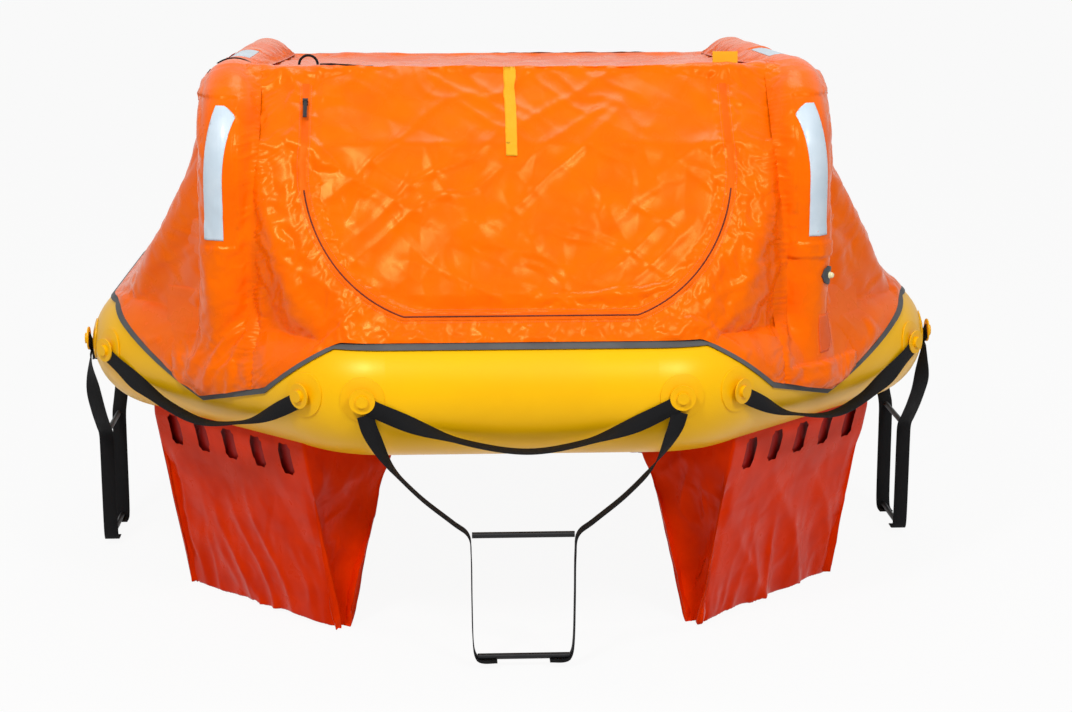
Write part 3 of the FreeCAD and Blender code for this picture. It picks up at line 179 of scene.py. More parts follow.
@dataclass
class RaftForm:
    """Tube, arches and fold lines that the cloth is stretched over."""

    side_distance: float = 0.910
    corner_bend: float = 0.170
    tube_radius: float = 0.150
    tube_level: float = 0.150
    cloth: float = 0.003
    arch_offset: float = 0.670
    arch_reach: float = 0.735
    arch_level: float = 0.805
    arch_bend: float = 0.200
    arch_radius: float = 0.062
    sleeve_cloth: float = 0.004
    arch_drop: float = 0.030
    levels: tuple = (0.278, 0.340, 0.480, 0.600, 0.700, 0.790, 0.862)
    front: tuple = (0.990, 0.956, 0.880, 0.817, 0.765, 0.673, 0.600)
    front_half: tuple = (0.410, 0.447, 0.530, 0.563, 0.590, 0.590, 0.590)
    side: tuple = (0.990, 0.940, 0.848, 0.772, 0.734, 0.722, 0.705)
    side_half: tuple = (0.410, 0.447, 0.530, 0.568, 0.590, 0.570, 0.559)
    roof_level: float = 0.862
    roof_front: float = 0.600
    roof_drop: float = 0.072
    roof_sag: float = 0.022
    hem: tuple = ((-0.400, 0.278), (0.0, 0.103), (0.235, 0.160), (0.400, 0.278))

    def tube(self, points: np.ndarray) -> np.ndarray:
        """Distance outside the cloth that lies on the buoyancy tube."""
        plan = octagon_distance(points[:, 0], points[:, 1], self.side_distance, self.corner_bend)
        return np.hypot(plan, points[:, 2] - self.tube_level) - self.tube_radius - self.cloth

    def arch_fall(self, y: np.ndarray) -> np.ndarray:
        """How far the arches have come down at each place from front to back."""
        start = self.arch_reach - self.arch_bend
        return self.arch_drop * np.clip((y + start) / (2 * start), 0, 1)

    def sleeve(self, points: np.ndarray) -> np.ndarray:
        """Distance outside the sleeves of the two arches."""
        across = np.abs(points[:, 0]) - self.arch_offset
        reach = np.abs(points[:, 1])
        height = points[:, 2] + self.arch_fall(points[:, 1])
        start = self.arch_reach - self.arch_bend
        knee = self.arch_level - self.arch_bend
        bend = np.hypot(reach - start, height - knee) - self.arch_bend
        leg = reach - self.arch_reach
        top = height - self.arch_level
        depth = np.where(height < knee, leg, np.where(reach < start, top, bend))
        return np.hypot(across, depth) - self.arch_radius - self.sleeve_cloth

    def panels(self, points: np.ndarray) -> np.ndarray:
        """Rough distance outside the wall and roof panels between the arches."""
        across = np.abs(points[:, 0])
        reach = np.abs(points[:, 1])
        height = points[:, 2]
        front = np.interp(height, self.levels, self.front)
        front_half = np.interp(height, self.levels, self.front_half)
        side = np.interp(height, self.levels, self.side)
        side_half = np.interp(height, self.levels, self.side_half)
        run = np.hypot(side - front_half, front - side_half)
        corner = ((across - front_half) * (front - side_half) + (reach - front) * (side - front_half)) / run
        wall = -smooth_union(-(reach - front), -(across - side), 0.02)
        wall = -smooth_union(-wall, -corner, 0.05) - self.cloth
        middle = np.clip(1 - (points[:, 0] / 0.62) ** 2, 0, 1) * np.clip(1 - (points[:, 1] / 0.62) ** 2, 0, 1)
        fall = self.roof_drop * (points[:, 1] + self.roof_front) / (2 * self.roof_front)
        roof = height - self.cloth - self.roof_level + fall + self.roof_sag * np.sqrt(middle)
        return -smooth_union(-wall, -roof, 0.016)

    def hem_level(self, points: np.ndarray) -> np.ndarray:
        """Height of the canopy's lower edge beside each point."""
        across = np.abs(points[:, 0])
        reach = np.abs(points[:, 1])
        along = (reach - across) / math.sqrt(2)
        stops = np.array(self.hem)
        return np.interp(along, stops[:, 0], stops[:, 1])


def land(distance: Callable, outer: np.ndarray, inner: np.ndarray) -> np.ndarray:
    """Bring points in from outside until they lie on a form.

    Args:
        distance: Gives how far outside the form points are.
        outer: Points outside the form, one row each.
        inner: Points inside it, one row each.

    Returns:
        Points on the form, between the two.
    """
    for _ in range(26):
        middle = (outer + inner) / 2
        outside = (distance(middle) > 0)[:, None]
        outer = np.where(outside, middle, outer)
        inner = np.where(outside, inner, middle)
    return outer


FORM = RaftForm()


# --------------------------------------------------------------------------------------
# Meshes
# --------------------------------------------------------------------------------------


def new_piece(name: str, points: Sequence, faces: Sequence, smooth: bool = True) -> bpy.types.Object:
    """Make an object from points and faces.

    Args:
        name: Name of the piece.
        points: Corners in metres.
        faces: Corner numbers of each face.
        smooth: Whether its faces are shaded smooth.

    Returns:
        The new object.
    """
    mesh = bpy.data.meshes.new(name)
    mesh.from_pydata([tuple(p) for p in points], [], [tuple(f) for f in faces])
    mesh.validate()
    for polygon in mesh.polygons:
        polygon.use_smooth = smooth
    piece = bpy.data.objects.new(name, mesh)
    bpy.context.scene.collection.objects.link(piece)
    return piece


def grid_piece(name: str, points: np.ndarray, closed: bool = False) -> bpy.types.Object:
    """Make an object from a grid of points, with its arc lengths in metres as the UV map.

    Args:
        name: Name of the piece.
        points: Array of rows, columns and xyz.
        closed: Whether the last column joins the first.

    Returns:
        The new object, its faces turned the way rows cross columns.
    """
    rows, columns = points.shape[:2]
    faces = []
    last = columns if closed else columns - 1
    for row in range(rows - 1):
        for column in range(last):
            after = (column + 1) % columns
            start = row * columns
            faces.append((start + column, start + after, start + columns + after, start + columns + column))
    piece = new_piece(name, points.reshape(-1, 3), faces)
    across = np.zeros((rows, columns))
    across[:, 1:] = np.cumsum(np.linalg.norm(np.diff(points, axis=1), axis=2), axis=1)
    across -= across[:, -1:] / 2
    along = np.zeros((rows, columns))
    along[1:] = np.cumsum(np.linalg.norm(np.diff(points, axis=0), axis=2), axis=0)
    lengths = np.stack([across.ravel(), along.ravel()], axis=1)
    layer = piece.data.uv_layers.new(name="lengths")
    corners = np.zeros(len(piece.data.loops), int)
    piece.data.loops.foreach_get("vertex_index", corners)
    layer.data.foreach_set("uv", lengths[corners].ravel())
    left = across - across[:, :1]
    edges = np.stack([left.ravel(), (left[:, -1:] - left).ravel()], axis=1)
    layer = piece.data.uv_layers.new(name="edges")
    layer.data.foreach_set("uv", edges[corners].ravel())
    piece.data.uv_layers.active = piece.data.uv_layers["lengths"]
    return piece


def set_points(piece: bpy.types.Object, points: np.ndarray) -> None:
    """Move a piece's corners to new places."""
    piece.data.vertices.foreach_set("co", np.asarray(points, np.float32).ravel())
    piece.data.update()


def get_points(piece: bpy.types.Object) -> np.ndarray:
    """Corners of a piece, one row each."""
    flat = np.zeros(len(piece.data.vertices) * 3, np.float32)
    piece.data.vertices.foreach_get("co", flat)
    return flat.reshape(-1, 3).astype(float)


def get_normals(piece: bpy.types.Object) -> np.ndarray:
    """Corner normals of a piece, one row each."""
    flat = np.zeros(len(piece.data.vertices) * 3, np.float32)
    piece.data.vertices.foreach_get("normal", flat)
    return flat.reshape(-1, 3).astype(float)


def subdivide(piece: bpy.types.Object, levels: int) -> None:
    """Round a piece with applied subdivision."""
    modifier = piece.modifiers.new("rounding", "SUBSURF")
    modifier.levels = levels
    modifier.render_levels = levels
    apply_modifiers(piece)


def apply_modifiers(piece: bpy.types.Object) -> None:
    """Bake a piece's modifiers into its mesh."""
    graph = bpy.context.evaluated_depsgraph_get()
    finished = bpy.data.meshes.new_from_object(piece.evaluated_get(graph))
    piece.modifiers.clear()
    former = piece.data
    piece.data = finished
    bpy.data.meshes.remove(former)


def crumple(
    piece: bpy.types.Object,
    pinned: np.ndarray,
    growth: float,
    frames: int,
    cap: float,
    bending: float,
    seed: int,
) -> None:
    """Let a stretched cloth that is cut a little too large settle into its own wrinkles.

    Args:
        piece: The cloth.
        pinned: Which corners are sewn down.
        growth: How much larger the cloth is than its place.
        frames: Steps of simulation.
        cap: Furthest that a corner may move.
        bending: Bending stiffness of the cloth.
        seed: Seed of the small unevenness that starts the wrinkles.
    """
    start = get_points(piece)
    jitter = np.random.default_rng(seed).normal(0, 0.0006, len(start))
    jitter[pinned] = 0
    set_points(piece, start + get_normals(piece) * jitter[:, None])
    group = piece.vertex_groups.new(name="pins")
    group.add([int(n) for n in np.flatnonzero(pinned)], 1.0, "REPLACE")
    modifier = piece.modifiers.new("cloth", "CLOTH")
    settings = modifier.settings
    settings.quality = 4
    settings.mass = 0.12
    settings.tension_stiffness = 25
    settings.compression_stiffness = 25
    settings.shear_stiffness = 12
    settings.bending_stiffness = bending
    settings.tension_damping = 8
    settings.air_damping = 4
    settings.shrink_min = -growth
    settings.vertex_group_mass = "pins"
    settings.pin_stiffness = 1
    settings.effector_weights.gravity = 0.15
    modifier.point_cache.frame_start = 1
    modifier.point_cache.frame_end = frames
    scene = bpy.context.scene
    for step in range(1, frames + 1):
        scene.frame_set(step)
    apply_modifiers(piece)
    scene.frame_set(1)
    moved = get_points(piece) - start
    reach = np.linalg.norm(moved, axis=1)[:, None]
    set_points(piece, start + moved * np.minimum(1, cap / np.maximum(reach, 1e-9)))
    piece.vertex_groups.clear()


def cloth_places(piece: bpy.types.Object, layer: str = "lengths") -> tuple[np.ndarray, np.ndarray]:
    """Place of each corner on its cloth, in metres.

    Args:
        piece: Piece of cloth.
        layer: UV map to read, with lengths across and along, or distances from both edges.

    Returns:
        The two lengths of each corner.
    """
    uv = np.zeros(2 * len(piece.data.loops))
    piece.data.uv_layers[layer].data.foreach_get("uv", uv)
    corner = np.zeros(len(piece.data.loops), int)
    piece.data.loops.foreach_get("vertex_index", corner)
    places = np.zeros((len(piece.data.vertices), 2))
    places[corner] = uv.reshape(-1, 2)
    return places[:, 0], places[:, 1]


def crinkle(
    u: np.ndarray, v: np.ndarray, size: float, stretch: float, bearing: float, seed: int
) -> np.ndarray:
    """Heights of flat facets that meet in sharp creases, as in crumpled coated cloth.

    Args:
        u: First coordinate on the cloth.
        v: Second coordinate on the cloth.
        size: Width of a facet.
        stretch: Length of a facet over its width.
        bearing: Direction in degrees in which the facets are long.
        seed: Seed of the facets.

    Returns:
        Heights from 0 to 1.
    """
    turn = math.radians(bearing)
    along = (u * math.cos(turn) + v * math.sin(turn)) / (size * stretch)
    aside = (v * math.cos(turn) - u * math.sin(turn)) / size
    along, aside = along - along.min() + 1, aside - aside.min() + 1
    columns, rows = int(along.max()) + 3, int(aside.max()) + 3
    rng = np.random.default_rng(seed)
    jitter = rng.uniform(-0.36, 0.36, (rows, columns, 2))
    heights = rng.uniform(0, 1, (rows, columns))
    corners = [
        (c + jitter[r, c, 0], r + jitter[r, c, 1], heights[r, c]) for r in range(rows) for c in range(columns)
    ]
    faces = []
    for r in range(rows - 1):
        for c in range(columns - 1):
            a, b = r * columns + c, (r + 1) * columns + c
            if rng.random() < 0.5:
                faces += [(a, a + 1, b), (a + 1, b + 1, b)]
            else:
                faces += [(a, a + 1, b + 1), (a, b + 1, b)]
    tree = BVHTree.FromPolygons(corners, faces)
    down = Vector((0.0, 0.0, -1.0))
    found = np.full(len(u), 0.5)
    for number, (x, y) in enumerate(zip(along, aside)):
        place = tree.ray_cast(Vector((x, y, 2.0)), down)[0]
        if place is not None:
            found[number] = place.z
    return found


def gathers(v: np.ndarray, edge: np.ndarray, pitch: float, reach: float, seed: int) -> np.ndarray:
    """Heights of the small puckers that a tight seam draws into the cloth beside it.

    Args:
        v: Place along the seam.
        edge: Distance from the seam.
        pitch: Spacing of the puckers.
        reach: Typical length of a pucker.
        seed: Seed of the puckers.

    Returns:
        Heights from 0 to 1.
    """
    rng = np.random.default_rng(seed)
    drift = (lattice_noise(v / 0.09, edge / 0.09, seed) - 0.5) * 5.0 + rng.uniform(-0.5, 0.5) * edge / pitch
    phase = v / pitch + drift
    number = np.floor(phase).astype(int) % 499
    length = reach * rng.uniform(0.35, 1.5, 499)[number]
    height = rng.uniform(0.25, 1.0, 499)[number]
    ridge = np.sin(math.pi * (phase - np.floor(phase))) ** 1.5
    return ridge * height * np.exp(-((edge / length) ** 2)) * np.clip(edge / 0.006, 0, 1)


@dataclass(frozen=True)
class Creasing:
    """Creases of one piece of cloth: broad and fine facets, and puckers at its side seams."""

    broad: float
    fine: float
    bearing: float
    pucker: float
    reach: float
    seed: int
    facet: float = 0.085
    pitch: float = 0.0125
    margin: float = 0.045
    end: float = 0.03

    def apply(self, piece: bpy.types.Object, keep: Callable | None = None) -> None:
        """Crease a finished mesh along its normals.

        Args:
            piece: Piece with its lengths as the UV map.
            keep: Gives the share of creases left at each point.
        """
        u, v = cloth_places(piece)
        left, right = cloth_places(piece, "edges")
        piece.data.uv_layers.remove(piece.data.uv_layers["edges"])
        edge = np.minimum(left, right)
        rise = crinkle(u, v, self.facet, 2.2, self.bearing, self.seed) * self.broad
        rise += crinkle(u, v, self.facet * 0.42, 1.8, self.bearing - 62, self.seed + 1) * self.fine
        rise *= np.clip(edge / self.margin, 0, 1)
        rise *= np.clip((v - v.min()) / self.end, 0, 1) * np.clip((v.max() - v) / self.end, 0, 1)
        rise += gathers(v, left, self.pitch, self.reach, self.seed + 2) * self.pucker
        rise += gathers(v, right, self.pitch, self.reach, self.seed + 3) * self.pucker
        points = get_points(piece)
        if keep is not None:
            rise *= keep(points)
        set_points(piece, points + get_normals(piece) * rise[:, None])


def keep_clear(piece: bpy.types.Object) -> None:
    """Bring cloth that has sunk into a tube back out on to it."""
    points = get_points(piece)
    inside = np.minimum(FORM.tube(points), FORM.sleeve(points))
    set_points(piece, points + get_normals(piece) * np.clip(-inside, 0, 0.02)[:, None])


class Cover:
    """A finished cloth surface that other pieces are laid on."""

    range = 1.2

    def __init__(self, pieces: Sequence) -> None:
        """Read the surfaces of some finished pieces."""
        self.trees = [BVHTree.FromObject(piece, bpy.context.evaluated_depsgraph_get()) for piece in pieces]

    def drop(self, point: Vector, direction: Vector, lift: float) -> Vector:
        """Move a point along a direction on to the cloth.

        Args:
            point: Start, outside the cloth.
            direction: Way to the cloth.
            lift: Clearance above the cloth.

        Returns:
            The first place met, lifted back towards the start.
        """
        nearest = None
        for tree in self.trees:
            _, _, _, distance = tree.ray_cast(point, direction, self.range)
            if distance is not None and (nearest is None or distance < nearest):
                nearest = distance
        if nearest is None:
            return point
        return point + direction * (nearest - lift)

    def nearest(self, point: Vector) -> tuple[Vector, Vector]:
        """Nearest place on the cloth and its normal."""
        found = [tree.find_nearest(point) for tree in self.trees]
        place, normal, _, _ = min(found, key=lambda hit: hit[3])
        return place, normal

    def lay(self, points: np.ndarray, direction: np.ndarray, lift: float, ease: int = 2) -> np.ndarray:
        """Lay a grid of points on the cloth.

        Args:
            points: Grid of rows, columns and xyz, outside the cloth.
            direction: Way to the cloth, one for all or one for each point.
            lift: Clearance above the cloth.
            ease: Rounds of smoothing, as a stiffer band bridges small creases.

        Returns:
            The grid on the cloth.
        """
        rows, columns = points.shape[:2]
        ways = np.broadcast_to(direction, points.shape)
        laid = np.zeros(points.shape)
        for row in range(rows):
            for column in range(columns):
                way = Vector(ways[row, column]).normalized()
                laid[row, column] = self.drop(Vector(points[row, column]), way, lift)
        for _ in range(ease):
            inner = laid[1:-1]
            laid[1:-1] = inner * 0.5 + (laid[:-2] + laid[2:]) * 0.25
        return laid


# --------------------------------------------------------------------------------------
# Finishes
# --------------------------------------------------------------------------------------


class Graph:
    """Node tree of one material."""

    def __init__(self, name: str) -> None:
        """Start a material with a Principled shader."""
        self.material = bpy.data.materials.new(name)
        self.material.use_nodes = True
        self.tree = self.material.node_tree
        self.shader = self.tree.nodes["Principled BSDF"]

    def add(self, kind: str, settings: dict | None = None, **inputs: object) -> bpy.types.Node:
        """Add a node with its settings and links.

        Args:
            kind: Blender's name of the node, without its ShaderNode prefix.
            settings: Properties of the node.
            **inputs: Values, or sockets to link, by input name or "at" and the input's number.

        Returns:
            The new node.
        """
        node = self.tree.nodes.new(f"ShaderNode{kind}")
        for key, value in (settings or {}).items():
            setattr(node, key, value)
        for key, value in inputs.items():
            place = int(key[2:]) if key[:2] == "at" and key[2:].isdigit() else key.replace("_", " ")
            socket = node.inputs[place]
            if isinstance(value, bpy.types.NodeSocket):
                self.tree.links.new(value, socket)
            else:
                socket.default_value = value
        return node

    def feed(self, socket: bpy.types.NodeSocket, name: str) -> None:
        """Link a socket to the shader's named input."""
        self.tree.links.new(socket, self.shader.inputs[name])


class Weave(Enum):
    """Fine surface of a finish."""

    PLAIN = "plain"
    TAFFETA = "taffeta"
    WEBBING = "webbing"
    GRAIN = "grain"
    BRUSHED = "brushed"


@dataclass(frozen=True)
class Finish:
    """One finish: its colour, gloss, fine surface and unevenness."""

    name: str
    colour: str
    shade: str
    roughness: float
    weave: Weave = Weave.PLAIN
    thread: float = 1.2
    bump: float = 0.2
    metallic: float = 0.0
    ior: float = 1.5
    coat: float = 0.0
    patch: float = 90.0
    specular: float = 0.3
    tint: str = "#FFFFFF"

    def build(self) -> bpy.types.Material:
        """Build the finish's material.

        Returns:
            The material, its pattern scales worked out from millimetres.
        """
        graph = Graph(self.name)
        shader = graph.shader
        shader.inputs["Metallic"].default_value = self.metallic
        shader.inputs["IOR"].default_value = self.ior
        shader.inputs["Specular IOR Level"].default_value = self.specular
        shader.inputs["Specular Tint"].default_value = srgb(self.tint)
        shader.inputs["Coat Weight"].default_value = self.coat
        shader.inputs["Coat Roughness"].default_value = 0.15
        place = graph.add("TexCoord").outputs["Object"]
        cloud = graph.add("TexNoise", Vector=place, Scale=1 / (self.patch * MM), Detail=3.0, Roughness=0.55)
        share = graph.add("MapRange", Value=cloud.outputs["Fac"], at1=0.35, at2=0.65)
        mix = graph.add("Mix", {"data_type": "RGBA"}, Factor=share.outputs["Result"])
        mix.inputs[6].default_value = srgb(self.colour)
        mix.inputs[7].default_value = srgb(self.shade)
        graph.feed(mix.outputs[2], "Base Color")
        gloss = graph.add("MapRange", Value=cloud.outputs["Fac"], at1=0.3, at2=0.7)
        gloss.inputs[3].default_value = max(self.roughness - 0.05, 0.02)
        gloss.inputs[4].default_value = min(self.roughness + 0.05, 1.0)
        graph.feed(gloss.outputs["Result"], "Roughness")
        height = self.relief(graph, place)
        bump = graph.add("Bump", Strength=self.bump, Distance=self.thread * MM * 0.4, Height=height)
        graph.feed(bump.outputs["Normal"], "Normal")
        return graph.material

    def relief(self, graph: Graph, place: bpy.types.NodeSocket) -> bpy.types.NodeSocket:
        """Height field of the fine surface.

        Args:
            graph: Node tree to add to.
            place: Coordinates in metres on the object.

        Returns:
            Socket of the heights.
        """
        fine = 1 / (self.thread * MM)
        if self.weave is Weave.PLAIN:
            return graph.add("TexNoise", Vector=place, Scale=fine, Detail=2.0).outputs["Fac"]
        if self.weave is Weave.GRAIN:
            cells = graph.add("TexVoronoi", {"feature": "SMOOTH_F1"}, Vector=place, Scale=fine)
            return cells.outputs["Distance"]
        if self.weave is Weave.BRUSHED:
            long = graph.add("Mapping", Vector=place, Scale=(1.0, 30.0, 30.0))
            return graph.add("TexNoise", Vector=long.outputs["Vector"], Scale=60.0, Detail=2.0).outputs["Fac"]
        cloth = graph.add("UVMap", {"uv_map": "lengths"}).outputs["UV"]
        # A wave of scale s repeats every pi / (10 s), here twice the spacing of the threads.
        scale = math.pi / (10 * self.thread * MM)
        across = graph.add("TexWave", {"bands_direction": "X"}, Vector=cloth, Scale=scale)
        along = graph.add("TexWave", {"bands_direction": "Y"}, Vector=cloth, Scale=scale)
        if self.weave is Weave.TAFFETA:
            return self.both(graph, across, along)
        slant = graph.add("Mapping", Vector=cloth, Rotation=(0.0, 0.0, 0.6))
        twill = graph.add("TexWave", {"bands_direction": "Y"}, Vector=slant.outputs["Vector"], Scale=scale)
        return self.both(graph, twill, across)

    @staticmethod
    def both(graph: Graph, first: bpy.types.Node, second: bpy.types.Node) -> bpy.types.NodeSocket:
        """Sum of the heights of two wave nodes."""
        heights = {"at0": first.outputs["Fac"], "at1": second.outputs["Fac"]}
        return graph.add("Math", {"operation": "ADD"}, **heights).outputs[0]


# Spacing of woven threads in mm. The real cloth's, about 0.2, would be too fine to show in the render.
SHOWN_THREAD = 1.6

# Nylon taffeta with a polyurethane coat, woven: crisp, slightly glossy folds.
CANOPY_NYLON = Finish(
    "canopy_coated_nylon", "#FF6E00", "#FB6600", 0.27, Weave.TAFFETA, SHOWN_THREAD, 0.05,
    specular=0.5, tint="#FFA058",
)
# The same nylon in a darker orange, for the tape of the zip.
CANOPY_SHADE = Finish(
    "canopy_darker_nylon", "#F06000", "#E65800", 0.36, Weave.TAFFETA, SHOWN_THREAD, 0.15,
    specular=0.6, tint="#FF9C4C",
)
# The same nylon in the deeper orange of the pockets and the canopy's sides.
POCKET_NYLON = Finish(
    "pocket_coated_nylon", "#EC3600", "#DE2E00", 0.30, Weave.TAFFETA, SHOWN_THREAD, 0.05,
    specular=0.13, tint="#FF7030",
)
# Painted shade: pocket cloth darkened to dark red, on the strip behind the slots, standing in for the shadow
# inside the pockets.
SLOT_SHADE_NYLON = Finish("pocket_painted_shade_nylon", "#A8140A", "#9A1006", 0.55, Weave.TAFFETA, SHOWN_THREAD, 0.12)
# Calendered neoprene-coated fabric of the tubes: smooth, even and softly glossy.
HULL_RUBBER = Finish(
    "hull_coated_fabric", "#FFC200", "#FBBC00", 0.36, Weave.PLAIN, 2.5, 0.08,
    patch=220, specular=0.6, tint="#FFD890",
)
# Moulded rubber patches, a little duller than the tube.
PATCH_RUBBER = Finish(
    "patch_moulded_rubber", "#FFC000", "#F9B800", 0.40, Weave.GRAIN, 2.0, 0.10,
    specular=0.5, tint="#FFE0A0",
)
# Woven polyester webbing, matt black with a faint twill.
WEBBING = Finish(
    "black_polyester_webbing", "#0C0C0E", "#111113", 0.75, Weave.WEBBING, SHOWN_THREAD, 0.6, specular=0.2
)
# Yellow polyester webbing of the tie strap.
YELLOW_WEBBING = Finish(
    "yellow_polyester_webbing", "#FFB81C", "#FAAE10", 0.62, Weave.WEBBING, SHOWN_THREAD, 0.5
)
# Rubberised edge tape, dark grey and matt.
TRIM_TAPE = Finish("grey_rubberised_tape", "#5A5A5A", "#4E4E50", 0.62, Weave.TAFFETA, 1.4, 0.3)
# Glass-bead retroreflective tape: pale silver with a fine beaded grain.
BEADED_TAPE = Finish(
    "retroreflective_bead_tape", "#D3E0EA", "#C6D6E2", 0.42, Weave.GRAIN, 1.2, 0.25, coat=0.2
)
# Zip coil and tape, dark rust nylon under dust.
ZIP_NYLON = Finish("zip_nylon_coil", "#6B2410", "#54190A", 0.55, Weave.PLAIN, 1.2, 0.4)
# Pink-orange polyester sewing thread.
THREAD = Finish("polyester_thread", "#F08A68", "#E87C5A", 0.55, Weave.PLAIN, 1.0, 0.3)
# Die-cast zinc, lacquered black.
SLIDER_ZINC = Finish("black_lacquered_zinc", "#26262A", "#1C1C20", 0.32, Weave.PLAIN, 1.5, 0.1, coat=0.4)
# Injection-moulded grey plastic of the lamp's backing.
LAMP_PLASTIC = Finish("grey_moulded_plastic", "#4A4C50", "#404246", 0.5, Weave.GRAIN, 1.2, 0.2)
# Translucent moulded polycarbonate lens.
LENS = Finish("milky_polycarbonate", "#F3E8B8", "#EBDDA6", 0.18, ior=1.58, coat=0.6, thread=3.0, bump=0.05)
# Glass-filled nylon rung, moulded black.
RUNG_PLASTIC = Finish("black_moulded_nylon", "#121214", "#1A1A1C", 0.46, Weave.GRAIN, 1.0, 0.2)
# Coated floor fabric, plain and dull.
FLOOR_FABRIC = Finish("floor_coated_fabric", "#E8A500", "#D99A00", 0.55, Weave.GRAIN, 3.0, 0.2)
# Powder-painted steel bottle.
BOTTLE_PAINT = Finish("grey_enamelled_steel", "#8E9296", "#84888C", 0.38, Weave.GRAIN, 1.6, 0.15, coat=0.3)
# Cast brass, tumbled dull.
BRASS = Finish("tumbled_brass", "#C7A252", "#B8924A", 0.34, Weave.PLAIN, 1.6, 0.2, metallic=1.0)
# Stainless steel, polished on a belt.
STEEL = Finish("belt_polished_steel", "#C9CCCF", "#BDC0C4", 0.24, Weave.BRUSHED, 1.0, 0.1, metallic=1.0)
# Extruded EPDM hose.
HOSE = Finish("black_epdm_hose", "#161618", "#1C1C1E", 0.55, Weave.PLAIN, 2.0, 0.2)
# Acetal valve parts, moulded in black.
VALVE_PLASTIC = Finish("black_acetal", "#1E1F22", "#26272A", 0.35, Weave.PLAIN, 1.4, 0.1)
# Waterproof bag cloth, dull orange.
BAG_CLOTH = Finish("bag_coated_polyester", "#D8540F", "#C84A0A", 0.55, Weave.GRAIN, 2.2, 0.25)
# Printed satin label, left bare.
LABEL_SATIN = Finish("bare_satin_label", "#F4661C", "#EE5E16", 0.5, Weave.GRAIN, 1.0, 0.15)


class Wardrobe:
    """Materials by finish, each built once."""

    def __init__(self) -> None:
        """Start with nothing built."""
        self.built: dict[Finish, bpy.types.Material] = {}

    def material(self, finish: Finish) -> bpy.types.Material:
        """Material of a finish."""
        if finish not in self.built:
            self.built[finish] = finish.build()
        return self.built[finish]

    def dress(self, piece: bpy.types.Object, *finishes: Finish) -> None:
        """Give a piece its finishes, one for each of its material slots."""
        piece.data.materials.clear()
        for finish in finishes:
            piece.data.materials.append(self.material(finish))


WARDROBE = Wardrobe()


# --------------------------------------------------------------------------------------
# Canopy
# --------------------------------------------------------------------------------------


class Facing(Enum):
    """Side of the raft that a wall panel faces, by its bearing in degrees from the front."""

    FRONT = 0
    RIGHT = 90
    BACK = 180
    LEFT = 270

    def place(self, across: np.ndarray, out: np.ndarray, height: np.ndarray) -> np.ndarray:
        """Turn coordinates of the side into places in the raft's frame."""
        turn = math.radians(self.value)
        x = across * math.cos(turn) + out * math.sin(turn)
        y = across * math.sin(turn) - out * math.cos(turn)
        return np.stack(np.broadcast_arrays(x, y, height), axis=-1)


@dataclass
class WallPanel:
    """A wall of canopy cloth between two arch legs or between two arches."""

    name: str
    facing: Facing
    half: float
    top_level: float
    spacing: float
    distances: tuple
    creasing: Creasing
    growth: float = 0.03
    frames: int = 24
    cap: float = 0.014
    seed: int = 11
    keep_flat: Callable | None = None
    top_tilt: float = 50.0
    piece: bpy.types.Object | None = field(default=None, init=False)

    def form(self, points: np.ndarray) -> np.ndarray:
        """Distance outside the panels and the cloth on the tube."""
        return smooth_union(FORM.panels(points), FORM.tube(points), 0.02)

    def hem(self, across: np.ndarray) -> np.ndarray:
        """Height of the panel's lower edge at each place across it."""
        level = np.full(across.shape, 0.278)
        for _ in range(14):
            outer = self.facing.place(across, np.full(across.shape, 1.3), level)
            inner = self.facing.place(across, np.full(across.shape, 0.6), level)
            level = 0.5 * level + 0.5 * FORM.hem_level(land(FORM.tube, outer, inner))
        return level

    def build(self) -> None:
        """Build the panel, stretched and creased."""
        columns = int(2 * self.half / self.spacing) + 1
        across = np.linspace(-self.half, self.half, columns)
        hem = self.hem(across)
        rows = int((self.top_level - 0.278) * 1.15 / self.spacing) + 1
        share = np.linspace(0, 1, rows)[:, None]
        height = hem[None, :] + (self.top_level - hem[None, :]) * share
        out = np.interp(height, FORM.levels, self.distances)
        tilt = np.radians(self.top_tilt) * np.clip((height - 0.45) / (self.top_level - 0.45), 0, 1)
        wide = np.broadcast_to(across, height.shape)
        outer = self.facing.place(wide, out + 0.3 * np.cos(tilt), height + 0.3 * np.sin(tilt))
        inner = self.facing.place(wide, out - 0.4 * np.cos(tilt), height - 0.4 * np.sin(tilt))
        points = land(self.form, outer.reshape(-1, 3), inner.reshape(-1, 3))
        self.piece = grid_piece(self.name, points.reshape(rows, columns, 3))
        self.crease(wide.ravel(), height.ravel(), rows, columns)
        subdivide(self.piece, 1)
        keep_clear(self.piece)
        self.creasing.apply(self.piece, self.freedom)

    def freedom(self, points: np.ndarray) -> np.ndarray:
        """Share of creases left beside what is sewn on the panel."""
        if self.keep_flat is None:
            return np.ones(len(points))
        return self.keep_flat(points[:, 0], points[:, 2])

    def crease(self, across: np.ndarray, height: np.ndarray, rows: int, columns: int) -> None:
        """Pucker the cloth at its seams and let it settle.

        Args:
            across: Place of each corner across the panel.
            height: Height of each corner.
            rows: Rows of the grid.
            columns: Columns of the grid.
        """
        grid = np.zeros((rows, columns), bool)
        grid[[0, -1], :] = True
        grid[:, [0, -1]] = True
        pinned = grid.ravel()
        flat = np.ones(len(across))
        if self.keep_flat is not None:
            flat = self.keep_flat(across, height)
            pinned = pinned | (flat < 0.02)
        edge = np.minimum(self.half - np.abs(across), 0.3)
        long = folds(across, height, 0.05, 5, 35, self.seed + 3) ** 3 * 0.006
        long += folds(across, height, 0.034, 4, -28, self.seed + 5) ** 3 * 0.0035
        long *= np.clip(edge / 0.08, 0, 1) * 0.9
        points = get_points(self.piece) + get_normals(self.piece) * (long * flat * ~pinned)[:, None]
        set_points(self.piece, points)
        crumple(self.piece, pinned, self.growth, self.frames, self.cap, 0.08, self.seed)


